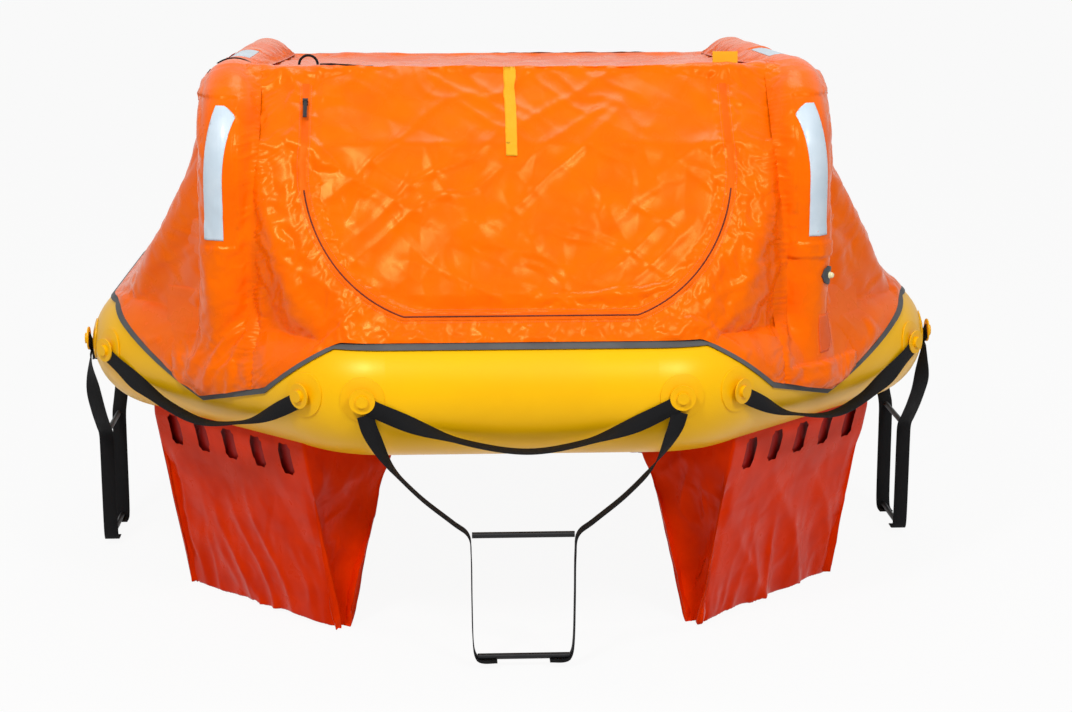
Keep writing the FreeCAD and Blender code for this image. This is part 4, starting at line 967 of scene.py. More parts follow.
@dataclass
class ArchSleeve:
    """Sleeve of canopy cloth over one arch, from foot to foot, with its tongues on the tube."""

    name: str
    hand: int
    spacing: float = 0.0086
    columns: int = 31
    foot_level: float = 0.34
    foot_front: float = 0.200
    foot_side: float = -0.100
    lap: float = 0.0012
    half_length: float = 1.35
    far_ray: float = 0.32
    fan_ray: float = 0.25
    inner_ray: float = 0.03
    turn_in: float = -38.0
    seam: float = 0.075
    seed: int = 41
    creasing: Creasing = Creasing(0.0038, 0.0024, 50, 0.0048, 0.034, 90, 0.05, 0.0115, 0.02)
    piece: bpy.types.Object | None = field(default=None, init=False)

    def form(self, points: np.ndarray) -> np.ndarray:
        """Distance outside the sleeve where it blends into its panels and the tube."""
        upper = smooth_union(FORM.sleeve(points), FORM.panels(points), 0.022)
        return smooth_union(upper, FORM.tube(points), 0.05)

    def arch_station(self, share: float) -> tuple[np.ndarray, np.ndarray, float, float]:
        """Frame of the arch at a share of the way from a foot to the crest's middle.

        Args:
            share: From 0 at the foot level to 1 at the middle of the crest.

        Returns:
            Centre, outward direction in the arch's plane, and the two seam angles in degrees.
        """
        start = FORM.arch_reach - FORM.arch_bend
        knee = FORM.arch_level - FORM.arch_bend
        runs = (knee - self.foot_level, math.pi / 2 * FORM.arch_bend * 1.3, start)
        way = share * sum(runs)
        if way <= runs[0]:
            centre, lean = (FORM.arch_offset, FORM.arch_reach, self.foot_level + way), 0.0
        elif way <= runs[0] + runs[1]:
            lean = (way - runs[0]) / runs[1] * math.pi / 2
            out, up = FORM.arch_bend * math.cos(lean), FORM.arch_bend * math.sin(lean)
            centre = (FORM.arch_offset, start + out, knee + up)
        else:
            centre, lean = (FORM.arch_offset, start - (way - runs[0] - runs[1]), FORM.arch_level), math.pi / 2
        ease = (1 - math.cos(2 * lean)) / 2
        outward = np.array((0.0, math.cos(lean), math.sin(lean)))
        return np.array(centre), outward, -52 - 8 * ease, 142 - 34 * ease

    def half_way(self, sign: int) -> np.ndarray:
        """Points of one half of the sleeve, on the side where X is positive.

        Args:
            sign: -1 for the front half, 1 for the back.

        Returns:
            Grid of rows from the hem to the crest's middle.
        """
        mirror = np.array((1.0, sign, 1.0))
        stations = int(self.half_length / self.spacing)
        outer, inner = [], []
        for station in range(stations + 1):
            centre, outward, first, last = self.arch_station(station / stations)
            centre, outward = centre * mirror, outward * mirror
            centre[2] -= float(FORM.arch_fall(centre[1]))
            fan = np.linspace(first, last, self.columns)
            angles = np.radians(np.maximum(fan, self.turn_in))[:, None]
            aside = np.array((1.0, 0.0, 0.0))
            ways = outward * np.cos(angles) + aside * np.sin(angles)
            level = np.clip((self.turn_in - fan) / (self.turn_in - first), 0, 1)[:, None]
            near = FORM.arch_radius * math.sin(math.radians(-self.turn_in))
            step = np.where(level > 0, near + (self.seam - near) * level, 0.0)
            straight = centre - aside * step
            middle = np.broadcast_to(centre, ways.shape)
            outer.append(np.where(level > 0, straight + outward * self.far_ray, centre + ways * self.fan_ray))
            inner.append(np.where(level > 0, straight - outward * self.inner_ray, middle))
        points = land(self.form, np.concatenate(outer), np.concatenate(inner))
        upper = points.reshape(stations + 1, self.columns, 3)
        along_top = (upper[0, :, 1] * sign - upper[0, :, 0]) / math.sqrt(2)
        along_hem = np.linspace(self.foot_front, self.foot_side, self.columns)
        stops = np.array(FORM.hem)
        hem = np.interp(along_hem, stops[:, 0], stops[:, 1])
        top = upper[0, :, 2]
        rows = int((self.foot_level - 0.11) * 1.2 / self.spacing)
        share = (np.arange(rows) / rows)[:, None]
        ease = share * share * (3 - 2 * share)
        along = along_hem + (along_top - along_hem) * ease
        height = hem + (top - hem) * share
        aside = 1 / math.sqrt(2)
        place = [np.stack([(d - along) * aside, (d + along) * aside * sign, height], -1) for d in (1.3, 0.6)]
        foot = land(self.form, place[0].reshape(-1, 3), place[1].reshape(-1, 3))
        return np.concatenate([foot.reshape(rows, self.columns, 3), upper])

    def build(self) -> None:
        """Build the sleeve, gathered at its seams and wrinkled at its feet."""
        grid = np.concatenate([self.half_way(-1), self.half_way(1)[-2::-1]])
        grid[..., 0] *= self.hand
        if self.hand < 0:
            grid = grid[:, ::-1]
        rows, columns = grid.shape[:2]
        self.piece = grid_piece(self.name, grid)
        normals = get_normals(self.piece).reshape(rows, columns, 3)
        run = np.zeros((rows, columns))
        run[1:] = np.cumsum(np.linalg.norm(np.diff(grid, axis=0), axis=2), axis=0)
        across = np.broadcast_to(np.linspace(-0.105, 0.105, columns), (rows, columns))
        edge = 0.105 - np.abs(across)
        height = grid[..., 2]
        foot = np.clip((0.42 - height) / 0.25, 0, 1)
        away = np.clip(edge / 0.012, 0, 1)
        plain = self.plain(grid.reshape(-1, 3)).reshape(rows, columns)
        drag = folds(across, run, 0.05, 3.5, 62, self.seed + 2) ** 3 * (0.002 + 0.010 * foot)
        drag += folds(across, run, 0.028, 4, 40, self.seed + 4) ** 3 * (0.001 + 0.005 * foot)
        lift = drag * plain * away * np.clip((height - 0.10) / 0.03, 0, 1) + self.lap * away
        set_points(self.piece, (grid + normals * lift[..., None]).reshape(-1, 3))
        pinned = np.zeros((rows, columns), bool)
        pinned[[0, -1], :] = True
        pinned[:, [0, 1, -2, -1]] = True
        pinned |= plain < 0.05
        crumple(self.piece, pinned.ravel(), 0.025, 16, 0.007, 0.12, self.seed)
        subdivide(self.piece, 1)
        keep_clear(self.piece)
        self.creasing.apply(self.piece, self.plain)

    def plain(self, points: np.ndarray) -> np.ndarray:
        """Share of wrinkles left where tapes, the lamp, the label and the band lie on the sleeve."""
        height = points[:, 2]
        reach = np.abs(points[:, 1])
        across = np.abs(points[:, 0])
        leg = (height > 0.465) & (height < 0.80) & (reach > 0.6) & (across > 0.648)
        crest = (height > 0.80) & (np.abs(points[:, 1] + 0.2) < 0.19) & (across > 0.64) & (across < 0.72)
        band = (np.abs(points[:, 1] + 0.494) < 0.02) & (self.hand < 0)
        low = (self.hand > 0) & (height > 0.18) & (height < 0.43) & (points[:, 1] < 0) & (across > 0.63)
        return np.where(leg | crest | band | low, 0.12, 1.0)


@dataclass
class RoofPanel:
    """Roof cloth between the arches, sagging a little."""

    half_across: float = 0.632
    front: float = -0.602
    back: float = 0.668
    spacing: float = 0.015
    piece: bpy.types.Object | None = field(default=None, init=False)

    def build(self) -> None:
        """Build the panel, creased between its seams."""
        across = np.linspace(-self.half_across, self.half_across, int(2 * self.half_across / self.spacing))
        reach = np.linspace(self.front, self.back, int((self.back - self.front) / self.spacing))
        wide, deep = np.meshgrid(across, reach)
        outer = np.stack([wide, deep, np.full(wide.shape, 1.0)], -1).reshape(-1, 3)
        inner = np.stack([wide, deep, np.full(wide.shape, 0.6)], -1).reshape(-1, 3)
        points = land(FORM.panels, outer, inner)
        self.piece = grid_piece("roof_panel", points.reshape(*wide.shape, 3))
        ends = np.minimum(deep - self.front, self.back - deep)
        edge = np.minimum(self.half_across - np.abs(wide), ends).ravel()
        long = folds(wide.ravel(), deep.ravel(), 0.07, 5, 70, 71) ** 3 * 0.008
        points[:, 2] += long * np.clip(edge / 0.08, 0, 1)
        set_points(self.piece, points)
        crumple(self.piece, edge < self.spacing / 2, 0.02, 16, 0.012, 0.1, 72)
        subdivide(self.piece, 1)
        Creasing(0.006, 0.0025, 75, 0.004, 0.04, 74).apply(self.piece)


def arc_through(first: Sequence, middle: Sequence, last: Sequence, count: int) -> np.ndarray:
    """Points of the circular arc through three plane points.

    Args:
        first: Start of the arc.
        middle: A point between its ends.
        last: End of the arc.
        count: Number of points.

    Returns:
        The points, one row each, both ends among them.
    """
    a, b, c = (np.array(p, float) for p in (first, middle, last))
    normal = np.array([b - a, c - a])
    squares = np.array([(b @ b - a @ a) / 2, (c @ c - a @ a) / 2])
    centre = np.linalg.solve(normal, squares)
    begin = math.atan2(*(a - centre)[::-1])
    sweep = math.atan2(*(c - centre)[::-1]) - begin
    sweep = (sweep + math.pi) % (2 * math.pi) - math.pi
    angles = begin + np.linspace(0, sweep, count)
    radius = np.linalg.norm(a - centre)
    return centre + radius * np.stack([np.cos(angles), np.sin(angles)], -1)


@dataclass
class Entrance:
    """Zip round the entrance flap, with its tape, coil and stitch lines."""

    half: float = 0.490
    top: float = 0.825
    shoulder: float = 0.700
    bottom: float = 0.331
    base: float = 0.265
    bulge: float = 0.3
    tape_width: float = 0.016
    coil_radius: float = 0.0021
    tooth_pitch: float = 0.0035
    stitch_offset: float = 0.0125
    covered: float = 0.600

    def path(self) -> np.ndarray:
        """Line of the zip in (across, height), from the upper left round to the upper right."""
        bulge = (
            self.base + (self.half - self.base) * (1 - self.bulge),
            self.bottom + (self.shoulder - self.bottom) * self.bulge,
        )
        right = arc_through((self.base, self.bottom), bulge, (self.half, self.shoulder), 40)
        left = right[::-1] * np.array((-1, 1))
        corners = np.concatenate([[(-self.half, self.top)], left, right, [(self.half, self.top)]])
        runs = np.concatenate([[0], np.cumsum(np.linalg.norm(np.diff(corners, axis=0), axis=1))])
        places = np.arange(0, runs[-1], self.tooth_pitch / 2)
        return np.stack([np.interp(places, runs, corners[:, axis]) for axis in (0, 1)], -1)

    def flatness(self, across: np.ndarray, height: np.ndarray) -> np.ndarray:
        """How freely the front panel's cloth moves beside the zip, from 0 on it to 1."""
        path = self.path()[::6]
        gap = np.full(across.shape, 1.0)
        for point in path:
            gap = np.minimum(gap, np.hypot(across - point[0], height - point[1]))
        return np.clip((gap - 0.011) / 0.03, 0, 1)

    def offset_path(self, offset: float, cover: Cover, lift: float) -> np.ndarray:
        """Line beside the zip, laid on the cloth.

        Args:
            offset: Distance to the side, positive outside the flap.
            cover: Finished cloth.
            lift: Height above the cloth.

        Returns:
            Points in metres, one row each.
        """
        path = self.path()
        along = np.gradient(path, axis=0)
        along /= np.linalg.norm(along, axis=1)[:, None]
        side = np.stack([along[:, 1], -along[:, 0]], -1)
        moved = path + side * offset
        start = np.stack([moved[:, 0], np.full(len(moved), -1.3), moved[:, 1]], -1)
        return cover.lay(start[:, None], np.array((0.0, 1.0, 0.0)), lift, ease=4)[:, 0]

    def build(self, cover: Cover) -> list:
        """Build the zip on the finished front panel.

        Args:
            cover: Finished cloth.

        Returns:
            Tape, coil and stitches.
        """
        offsets = np.linspace(self.tape_width / 2, -self.tape_width / 2, 5)
        lines = [self.offset_path(o, cover, 0.0012) for o in offsets]
        tape = grid_piece("zip_tape", np.stack(lines, 1)[::3])
        WARDROBE.dress(tape, CANOPY_SHADE)
        middle = lines[2]
        bare = middle[middle[:, 2] < self.covered]
        coil = swept_tube("zip_coil", bare, self.coil_radius, 8, ridge=0.28)
        WARDROBE.dress(coil, ZIP_NYLON)
        pieces = [tape, coil]
        for name, offset in (("outer", self.stitch_offset), ("inner", -self.stitch_offset)):
            line = self.offset_path(offset, cover, 0.0010)
            stitches = stitch_row(f"zip_stitches_{name}", line, 0.005, 0.0022)
            WARDROBE.dress(stitches, THREAD)
            pieces.append(stitches)
        return pieces


def frames_along(
    line: np.ndarray, up: Sequence = (0.0, -0.7, 0.7)
) -> tuple[np.ndarray, np.ndarray, np.ndarray]:
    """Directions along, beside and above each point of a line.

    Args:
        line: Points, one row each.
        up: Rough upward direction.

    Returns:
        Unit vectors along, beside and above.
    """
    along = np.gradient(line, axis=0)
    along /= np.maximum(np.linalg.norm(along, axis=1), 1e-9)[:, None]
    beside = np.cross(along, np.array(up))
    beside /= np.maximum(np.linalg.norm(beside, axis=1), 1e-9)[:, None]
    return along, beside, np.cross(beside, along)


def swept_tube(
    name: str, line: np.ndarray, radius: float, sides: int, ridge: float = 0.0
) -> bpy.types.Object:
    """Sweep a round section along a line.

    Args:
        name: Name of the piece.
        line: Points, one row each.
        radius: Radius of the section.
        sides: Corners of the section.
        ridge: Share of the radius lost at every second point, for teeth.

    Returns:
        The closed tube.
    """
    _, beside, above = frames_along(line)
    angles = np.linspace(0, 2 * math.pi, sides, endpoint=False)
    grow = np.where(np.arange(len(line)) % 2, 1.0, 1.0 - ridge)[:, None, None]
    ring = beside[:, None] * np.cos(angles)[:, None] + above[:, None] * np.sin(angles)[:, None]
    points = (line[:, None] + ring * radius * grow).reshape(-1, 3)
    faces = []
    for row in range(len(line) - 1):
        for side in range(sides):
            after = (side + 1) % sides
            start = row * sides
            faces.append((start + side, start + sides + side, start + sides + after, start + after))
    last = (len(line) - 1) * sides
    faces.append(tuple(range(sides)))
    faces.append(tuple(last + side for side in reversed(range(sides))))
    return new_piece(name, points, faces)


def stitch_row(name: str, line: np.ndarray, pitch: float, length: float) -> bpy.types.Object:
    """Make a row of stitches along a line.

    Args:
        name: Name of the piece.
        line: Points, one row each.
        pitch: Spacing of the stitches.
        length: Visible length of a stitch.

    Returns:
        One piece with all stitches, each a small six-sided bead.
    """
    runs = np.concatenate([[0], np.cumsum(np.linalg.norm(np.diff(line, axis=0), axis=1))])
    along, beside, above = frames_along(line)
    points, faces = [], []
    thick = 0.0006
    for place in np.arange(pitch, runs[-1] - pitch, pitch):
        number = int(np.searchsorted(runs, place))
        middle = line[number]
        start = len(points)
        for step, size in ((-1.0, 0.4), (-0.4, 1.0), (0.4, 1.0), (1.0, 0.4)):
            centre = middle + along[number] * step * length / 2
            for turn in (0, 90, 180, 270):
                angle = math.radians(turn)
                reach = beside[number] * math.cos(angle) + above[number] * math.sin(angle)
                points.append(centre + reach * thick * size)
        for ring in range(3):
            for side in range(4):
                after = (side + 1) % 4
                low = start + ring * 4
                faces.append((low + side, low + 4 + side, low + 4 + after, low + after))
        faces.append((start, start + 1, start + 2, start + 3))
        faces.append((start + 15, start + 14, start + 13, start + 12))
    return new_piece(name, points, faces)


# --------------------------------------------------------------------------------------
# Webbing
# --------------------------------------------------------------------------------------


def smooth_step(share: np.ndarray) -> np.ndarray:
    """Ease from 0 to 1 without a corner at either end."""
    share = np.clip(share, 0, 1)
    return share * share * (3 - 2 * share)


def smooth_line(stops: Sequence, count: int) -> np.ndarray:
    """Catmull-Rom curve through some points.

    Args:
        stops: Points that the curve passes.
        count: Number of points wanted.

    Returns:
        Evenly spaced points, one row each.
    """
    stops = np.array(stops, float)
    ends = np.concatenate([[2 * stops[0] - stops[1]], stops, [2 * stops[-1] - stops[-2]]])
    pieces = []
    for number in range(1, len(ends) - 2):
        a, b, c, d = ends[number - 1:number + 3]
        t = np.linspace(0, 1, 24, endpoint=False)[:, None]
        square, cube = 2 * a - 5 * b + 4 * c - d, 3 * b - a - 3 * c + d
        pieces.append(0.5 * (2 * b + (c - a) * t + square * t**2 + cube * t**3))
    line = np.concatenate([*pieces, stops[-1:]])
    runs = np.concatenate([[0], np.cumsum(np.linalg.norm(np.diff(line, axis=0), axis=1))])
    places = np.linspace(0, runs[-1], count)
    return np.stack([np.interp(places, runs, line[:, axis]) for axis in range(3)], -1)


def ribbon(name: str, line: np.ndarray, wide: np.ndarray, width: float, thickness: float) -> bpy.types.Object:
    """Make a flat band with rounded selvedges.

    Args:
        name: Name of the piece.
        line: Middle of the band, one row each.
        wide: Direction across the band at each point.
        width: Width of the band.
        thickness: Thickness of the band.

    Returns:
        The closed band, with its lengths as the UV map.
    """
    along = np.gradient(line, axis=0)
    along /= np.maximum(np.linalg.norm(along, axis=1), 1e-9)[:, None]
    wide = wide - along * np.sum(wide * along, axis=1)[:, None]
    wide /= np.maximum(np.linalg.norm(wide, axis=1), 1e-9)[:, None]
    thin = np.cross(along, wide)
    half, deep = width / 2, thickness / 2
    outline = [
        (-half + deep * 0.6, deep), (0.0, deep), (half - deep * 0.6, deep), (half, 0.0),
        (half - deep * 0.6, -deep), (0.0, -deep), (-half + deep * 0.6, -deep), (-half, 0.0),
    ]
    section = np.array(outline)
    points = line[:, None] + wide[:, None] * section[:, :1] + thin[:, None] * section[:, 1:]
    piece = grid_piece(name, points, closed=True)
    mesh = bmesh.new()
    mesh.from_mesh(piece.data)
    mesh.verts.ensure_lookup_table()
    sides = len(section)
    mesh.faces.new([mesh.verts[n] for n in reversed(range(sides))])
    mesh.faces.new([mesh.verts[len(line) * sides - sides + n] for n in range(sides)])
    bmesh.ops.recalc_face_normals(mesh, faces=mesh.faces)
    mesh.to_mesh(piece.data)
    mesh.free()
    return piece


def turned(points: np.ndarray, bearing: float) -> np.ndarray:
    """Turn points about Z by a bearing in degrees."""
    turn = math.radians(bearing)
    x = points[..., 0] * math.cos(turn) - points[..., 1] * math.sin(turn)
    y = points[..., 0] * math.sin(turn) + points[..., 1] * math.cos(turn)
    return np.stack([x, y, points[..., 2]], -1)


SIDE_BEARINGS = {
    "front": 0, "front_right": 45, "right": 90, "back_right": 135,
    "back": 180, "back_left": 225, "left": 270, "front_left": 315,
}


@dataclass
class Webbing:
    """Lifelines round the tube and the boarding ladders' straps."""

    width: float = 0.038
    thickness: float = 0.0026
    patch_offset: float = 0.358
    patch_level: float = 0.161
    face: float = 1.0652
    sag: float = 0.117
    ladder_route: tuple = (
        (0.352, 1.0645, 0.128), (0.338, 1.068, 0.085), (0.296, 1.072, 0.010), (0.232, 1.072, -0.060),
        (0.160, 1.072, -0.120), (0.124, 1.072, -0.151), (0.118, 1.072, -0.200), (0.117, 1.072, -0.300),
        (0.115, 1.072, -0.400), (0.109, 1.072, -0.438), (0.094, 1.072, -0.4495), (0.060, 1.072, -0.4495),
    )

    def lifeline(self, side: str) -> bpy.types.Object:
        """Make the lifeline of one side, flat at its ends and turned on edge between.

        Args:
            side: Name of the side.

        Returns:
            The band.
        """
        rng = np.random.default_rng(SIDE_BEARINGS[side] + 5)
        lean = rng.uniform(-0.02, 0.02)
        drop = self.sag * rng.uniform(0.97, 1.03)
        ends = self.patch_offset + 0.012
        stops = []
        for share in (-1, -0.86, -0.6, -0.3, 0, 0.3, 0.6, 0.86, 1):
            across = share * ends + lean * (1 - share * share)
            level = self.patch_level - drop * (1 - abs(share) ** 1.7)
            out = self.face + 0.004 * (1 - share * share)
            stops.append((across, -out, level))
        line = smooth_line(stops, 96)
        share = np.abs(line[:, 0]) / ends
        turn = np.radians(86) * (1 - smooth_step((share - 0.38) / 0.5))
        along = np.gradient(line, axis=0)
        along /= np.linalg.norm(along, axis=1)[:, None]
        outward = np.array((0.0, -1.0, 0.0))
        upright = np.cross(along, outward)
        wide = upright * np.cos(turn)[:, None] + outward * np.sin(turn)[:, None]
        band = ribbon(f"lifeline_band_{side}", line, wide, self.width, self.thickness)
        set_points(band, turned(get_points(band), SIDE_BEARINGS[side]))
        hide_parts(f"lifeline_{side}")
        return band

    def ladder(self, side: str) -> bpy.types.Object:
        """Make both straps of one ladder as one piece.

        Args:
            side: Name of the side.

        Returns:
            The straps, each twisted from its patch and sewn round the rungs.
        """
        straps = []
        for hand in (-1, 1):
            stops = [(hand * across, -out, level) for across, out, level in self.ladder_route]
            line = smooth_line(stops, 120)
            along = np.gradient(line, axis=0)
            along /= np.linalg.norm(along, axis=1)[:, None]
            outward = np.array((0.0, -1.0, 0.0))
            upright = np.cross(along, outward)
            twist = smooth_step((0.135 - line[:, 2]) / 0.16) * math.pi / 2
            wide = upright * np.cos(twist)[:, None] + outward * np.sin(twist)[:, None]
            straps.append(ribbon(f"ladder_strap_{side}_{hand}", line, wide, self.width, self.thickness))
        both = join(f"ladder_straps_{side}", straps)
        set_points(both, turned(get_points(both), SIDE_BEARINGS[side]))
        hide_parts(f"ladder_webbing_{side}")
        return both


def join(name: str, pieces: Sequence) -> bpy.types.Object:
    """Join pieces into one object.

    Args:
        name: Name of the joined piece.
        pieces: Objects to join, which are used up.

    Returns:
        The first object, now holding all the meshes.
    """
    with bpy.context.temp_override(active_object=pieces[0], selected_editable_objects=list(pieces)):
        bpy.ops.object.join()
    pieces[0].name = name
    pieces[0].data.name = name
    return pieces[0]


# --------------------------------------------------------------------------------------
# Water pockets
# --------------------------------------------------------------------------------------


@dataclass
class WaterPocket:
    """Weighted bag of coated cloth under one corner side of the tube."""

    side: str
    half: float = 0.280
    outer: float = 0.985
    inner: float = 0.682
    foot_outer: float = 0.885
    foot_inner: float = 0.848
    depth: float = 0.465
    spacing: float = 0.010
    slot_pitch: float = 0.102
    slot_radius: float = 0.0215
    slot_half: float = 0.038
    slot_level: float = -0.032
    piece: bpy.types.Object | None = field(default=None, init=False)

    def wall(self, level: np.ndarray, near: bool) -> np.ndarray:
        """Distance of the outer or inner wall at each level."""
        share = np.clip(-level / self.depth, 0, 1)
        first, last = (self.outer, self.foot_outer) if near else (self.inner, self.foot_inner)
        return first + (last - first) * share

    def build(self, seed: int) -> bpy.types.Object:
        """Build the pocket: a hanging shell with filling slots and a sewn foot.

        Args:
            seed: Seed of its folds.

        Returns:
            The finished bag.
        """
        long_side = np.linspace(-self.half, self.half, int(2 * self.half / self.spacing))
        gusset = np.linspace(0, 1, 30)[1:-1]
        rows = int((self.depth + 0.030) / self.spacing)
        level = np.linspace(0.030, -self.depth, rows)[:, None]
        near = self.wall(level, True)
        far = self.wall(level, False)
        share = np.clip(-level / self.depth, 0, 1)
        ones = np.ones((rows, 1))
        wide, deep = np.ones(len(long_side)), np.ones(len(gusset))
        runs = [
            np.stack([long_side * ones, near * wide, level * wide], -1),
            np.stack([self.half * ones * deep, near + (far - near) * gusset, level * deep], -1),
            np.stack([-long_side * ones, far * wide, level * wide], -1),
            np.stack([-self.half * ones * deep, far + (near - far) * gusset, level * deep], -1),
        ]
        grid = np.concatenate(runs, 1)
        kinds = np.repeat([0, 1, 2, 3], [len(long_side), len(gusset), len(long_side), len(gusset)])
        across, out = grid[..., 0].copy(), grid[..., 1].copy()
        height = grid[..., 2]
        hang = smooth_step(share)
        centre = (near + far) / 2
        width = np.maximum(near - far, 1e-6)
        depth_share = np.clip((out - centre) / width + 0.5, 0, 1)
        belly = np.sin(math.pi * depth_share)
        tuck = 0.030 * belly * smooth_step((share - 0.05) / 0.5)
        side_mask = (kinds == 1) | (kinds == 3)
        across = np.where(side_mask, across - np.sign(across) * tuck, across)
        slack = np.clip(1 - (np.abs(grid[..., 0]) / self.half) ** 4, 0, 1)
        lift = folds(across, height, 0.14, 4, 118, seed) ** 2.5 * 0.018
        lift += folds(across, height, 0.07, 5, 96, seed + 2) ** 3 * 0.009
        lift += folds(across, height, 0.03, 5, 84, seed + 4) ** 3 * 0.0035 * (0.4 + share)
        scallop = 0.006 * slack * np.sin(share * math.pi)
        push = (lift - 0.010) * hang * (0.25 + 0.75 * slack) - scallop
        front = kinds == 0
        back = kinds == 2
        out = out + np.where(front, push, 0) - np.where(back, push, 0)
        crumple_side = folds(out, height, 0.05, 3, 60, seed + 6) ** 3 * 0.012
        crumple_side += folds(out, height, 0.022, 3, 100, seed + 7) ** 3 * 0.004
        across = across + np.where(side_mask, np.sign(across) * (crumple_side - 0.006) * belly, 0)
        ragged = lattice_noise(across / 0.05 + 3, out / 0.08, seed + 8) - 0.5
        droop = 0.007 * ragged * smooth_step((share - 0.8) / 0.2)
        local = np.stack([across, -out, height + droop], -1)
        self.piece = grid_piece(f"pocket_bag_{self.side}", local, closed=True)
        self.cut_slots()
        self.sew_foot()
        subdivide(self.piece, 1)
        creasing = Creasing(0.0080, 0.0030, 70, 0.0, 0.03, seed + 9, 0.075, margin=0.001)
        creasing.apply(self.piece, self.slackness)
        set_points(self.piece, turned(get_points(self.piece), SIDE_BEARINGS[self.side]))
        return self.piece

    def slackness(self, points: np.ndarray) -> np.ndarray:
        """Share of creases left at each point, none round the slots and most low down and at the ends."""
        share = np.clip(-points[:, 2] / self.depth, 0, 1)
        ends = np.clip((np.abs(points[:, 0]) - self.half + 0.04) / 0.02, 0, 1)
        return smooth_step((share - 0.12) / 0.2) * (0.75 + 0.8 * ends)

    def shade_strip(self) -> bpy.types.Object:
        """Make the dark strip behind the slots: painted shade standing in for the shadowed inside of the
        pocket.
        """
        across = np.linspace(-self.half + 0.02, self.half - 0.02, 60)
        level = np.linspace(self.slot_level - 0.06, 0.02, 12)
        wide, high = np.meshgrid(across, level)
        out = self.wall(high, True) - 0.012 - 0.006 * np.sin(wide / self.slot_pitch * math.pi) ** 2
        strip = grid_piece(f"pocket_shade_strip_{self.side}", np.stack([wide, -out, high], -1))
        set_points(strip, turned(get_points(strip), SIDE_BEARINGS[self.side]))
        return strip

    def slot_gap(self, across: float, height: float) -> tuple[float, float]:
        """Distance outside the nearest slot, and that slot's middle across the wall."""
        number = max(-2, min(2, round(across / self.slot_pitch)))
        middle = number * self.slot_pitch
        straight = self.slot_half - self.slot_radius
        rise = max(abs(height - self.slot_level) - straight, 0)
        return math.hypot(across - middle, rise) - self.slot_radius, middle

    def cut_slots(self) -> None:
        """Cut the five round-ended slots out of the outer wall, their edges made even."""
        mesh = bmesh.new()
        mesh.from_mesh(self.piece.data)
        straight = self.slot_half - self.slot_radius
        for corner in mesh.verts:
            if corner.co.y > -0.93 or corner.co.z > 0.03:
                continue
            gap, middle = self.slot_gap(corner.co.x, corner.co.z)
            if abs(gap) < self.spacing * 0.55:
                pivot = max(-straight, min(straight, corner.co.z - self.slot_level)) + self.slot_level
                reach = Vector((corner.co.x - middle, corner.co.z - pivot))
                reach = reach.normalized() * self.slot_radius
                corner.co.x = middle + reach.x
                corner.co.z = pivot + reach.y
        doomed = []
        for face in mesh.faces:
            place = face.calc_center_median()
            if place.y < -0.93 and self.slot_gap(place.x, place.z)[0] < 0:
                doomed.append(face)
        bmesh.ops.delete(mesh, geom=doomed, context="FACES")
        mesh.to_mesh(self.piece.data)
        mesh.free()

    def sew_foot(self) -> None:
        """Close the foot between the four walls."""
        mesh = bmesh.new()
        mesh.from_mesh(self.piece.data)
        lowest = -self.depth + self.spacing / 3
        edges = [e for e in mesh.edges if e.is_boundary and all(v.co.z < lowest + 0.006 for v in e.verts)]
        bmesh.ops.holes_fill(mesh, edges=edges, sides=0)
        bmesh.ops.triangulate(mesh, faces=[f for f in mesh.faces if len(f.verts) > 4])
        for face in mesh.faces:
            face.smooth = True
        mesh.to_mesh(self.piece.data)
        mesh.free()


# --------------------------------------------------------------------------------------
# Studio
# --------------------------------------------------------------------------------------


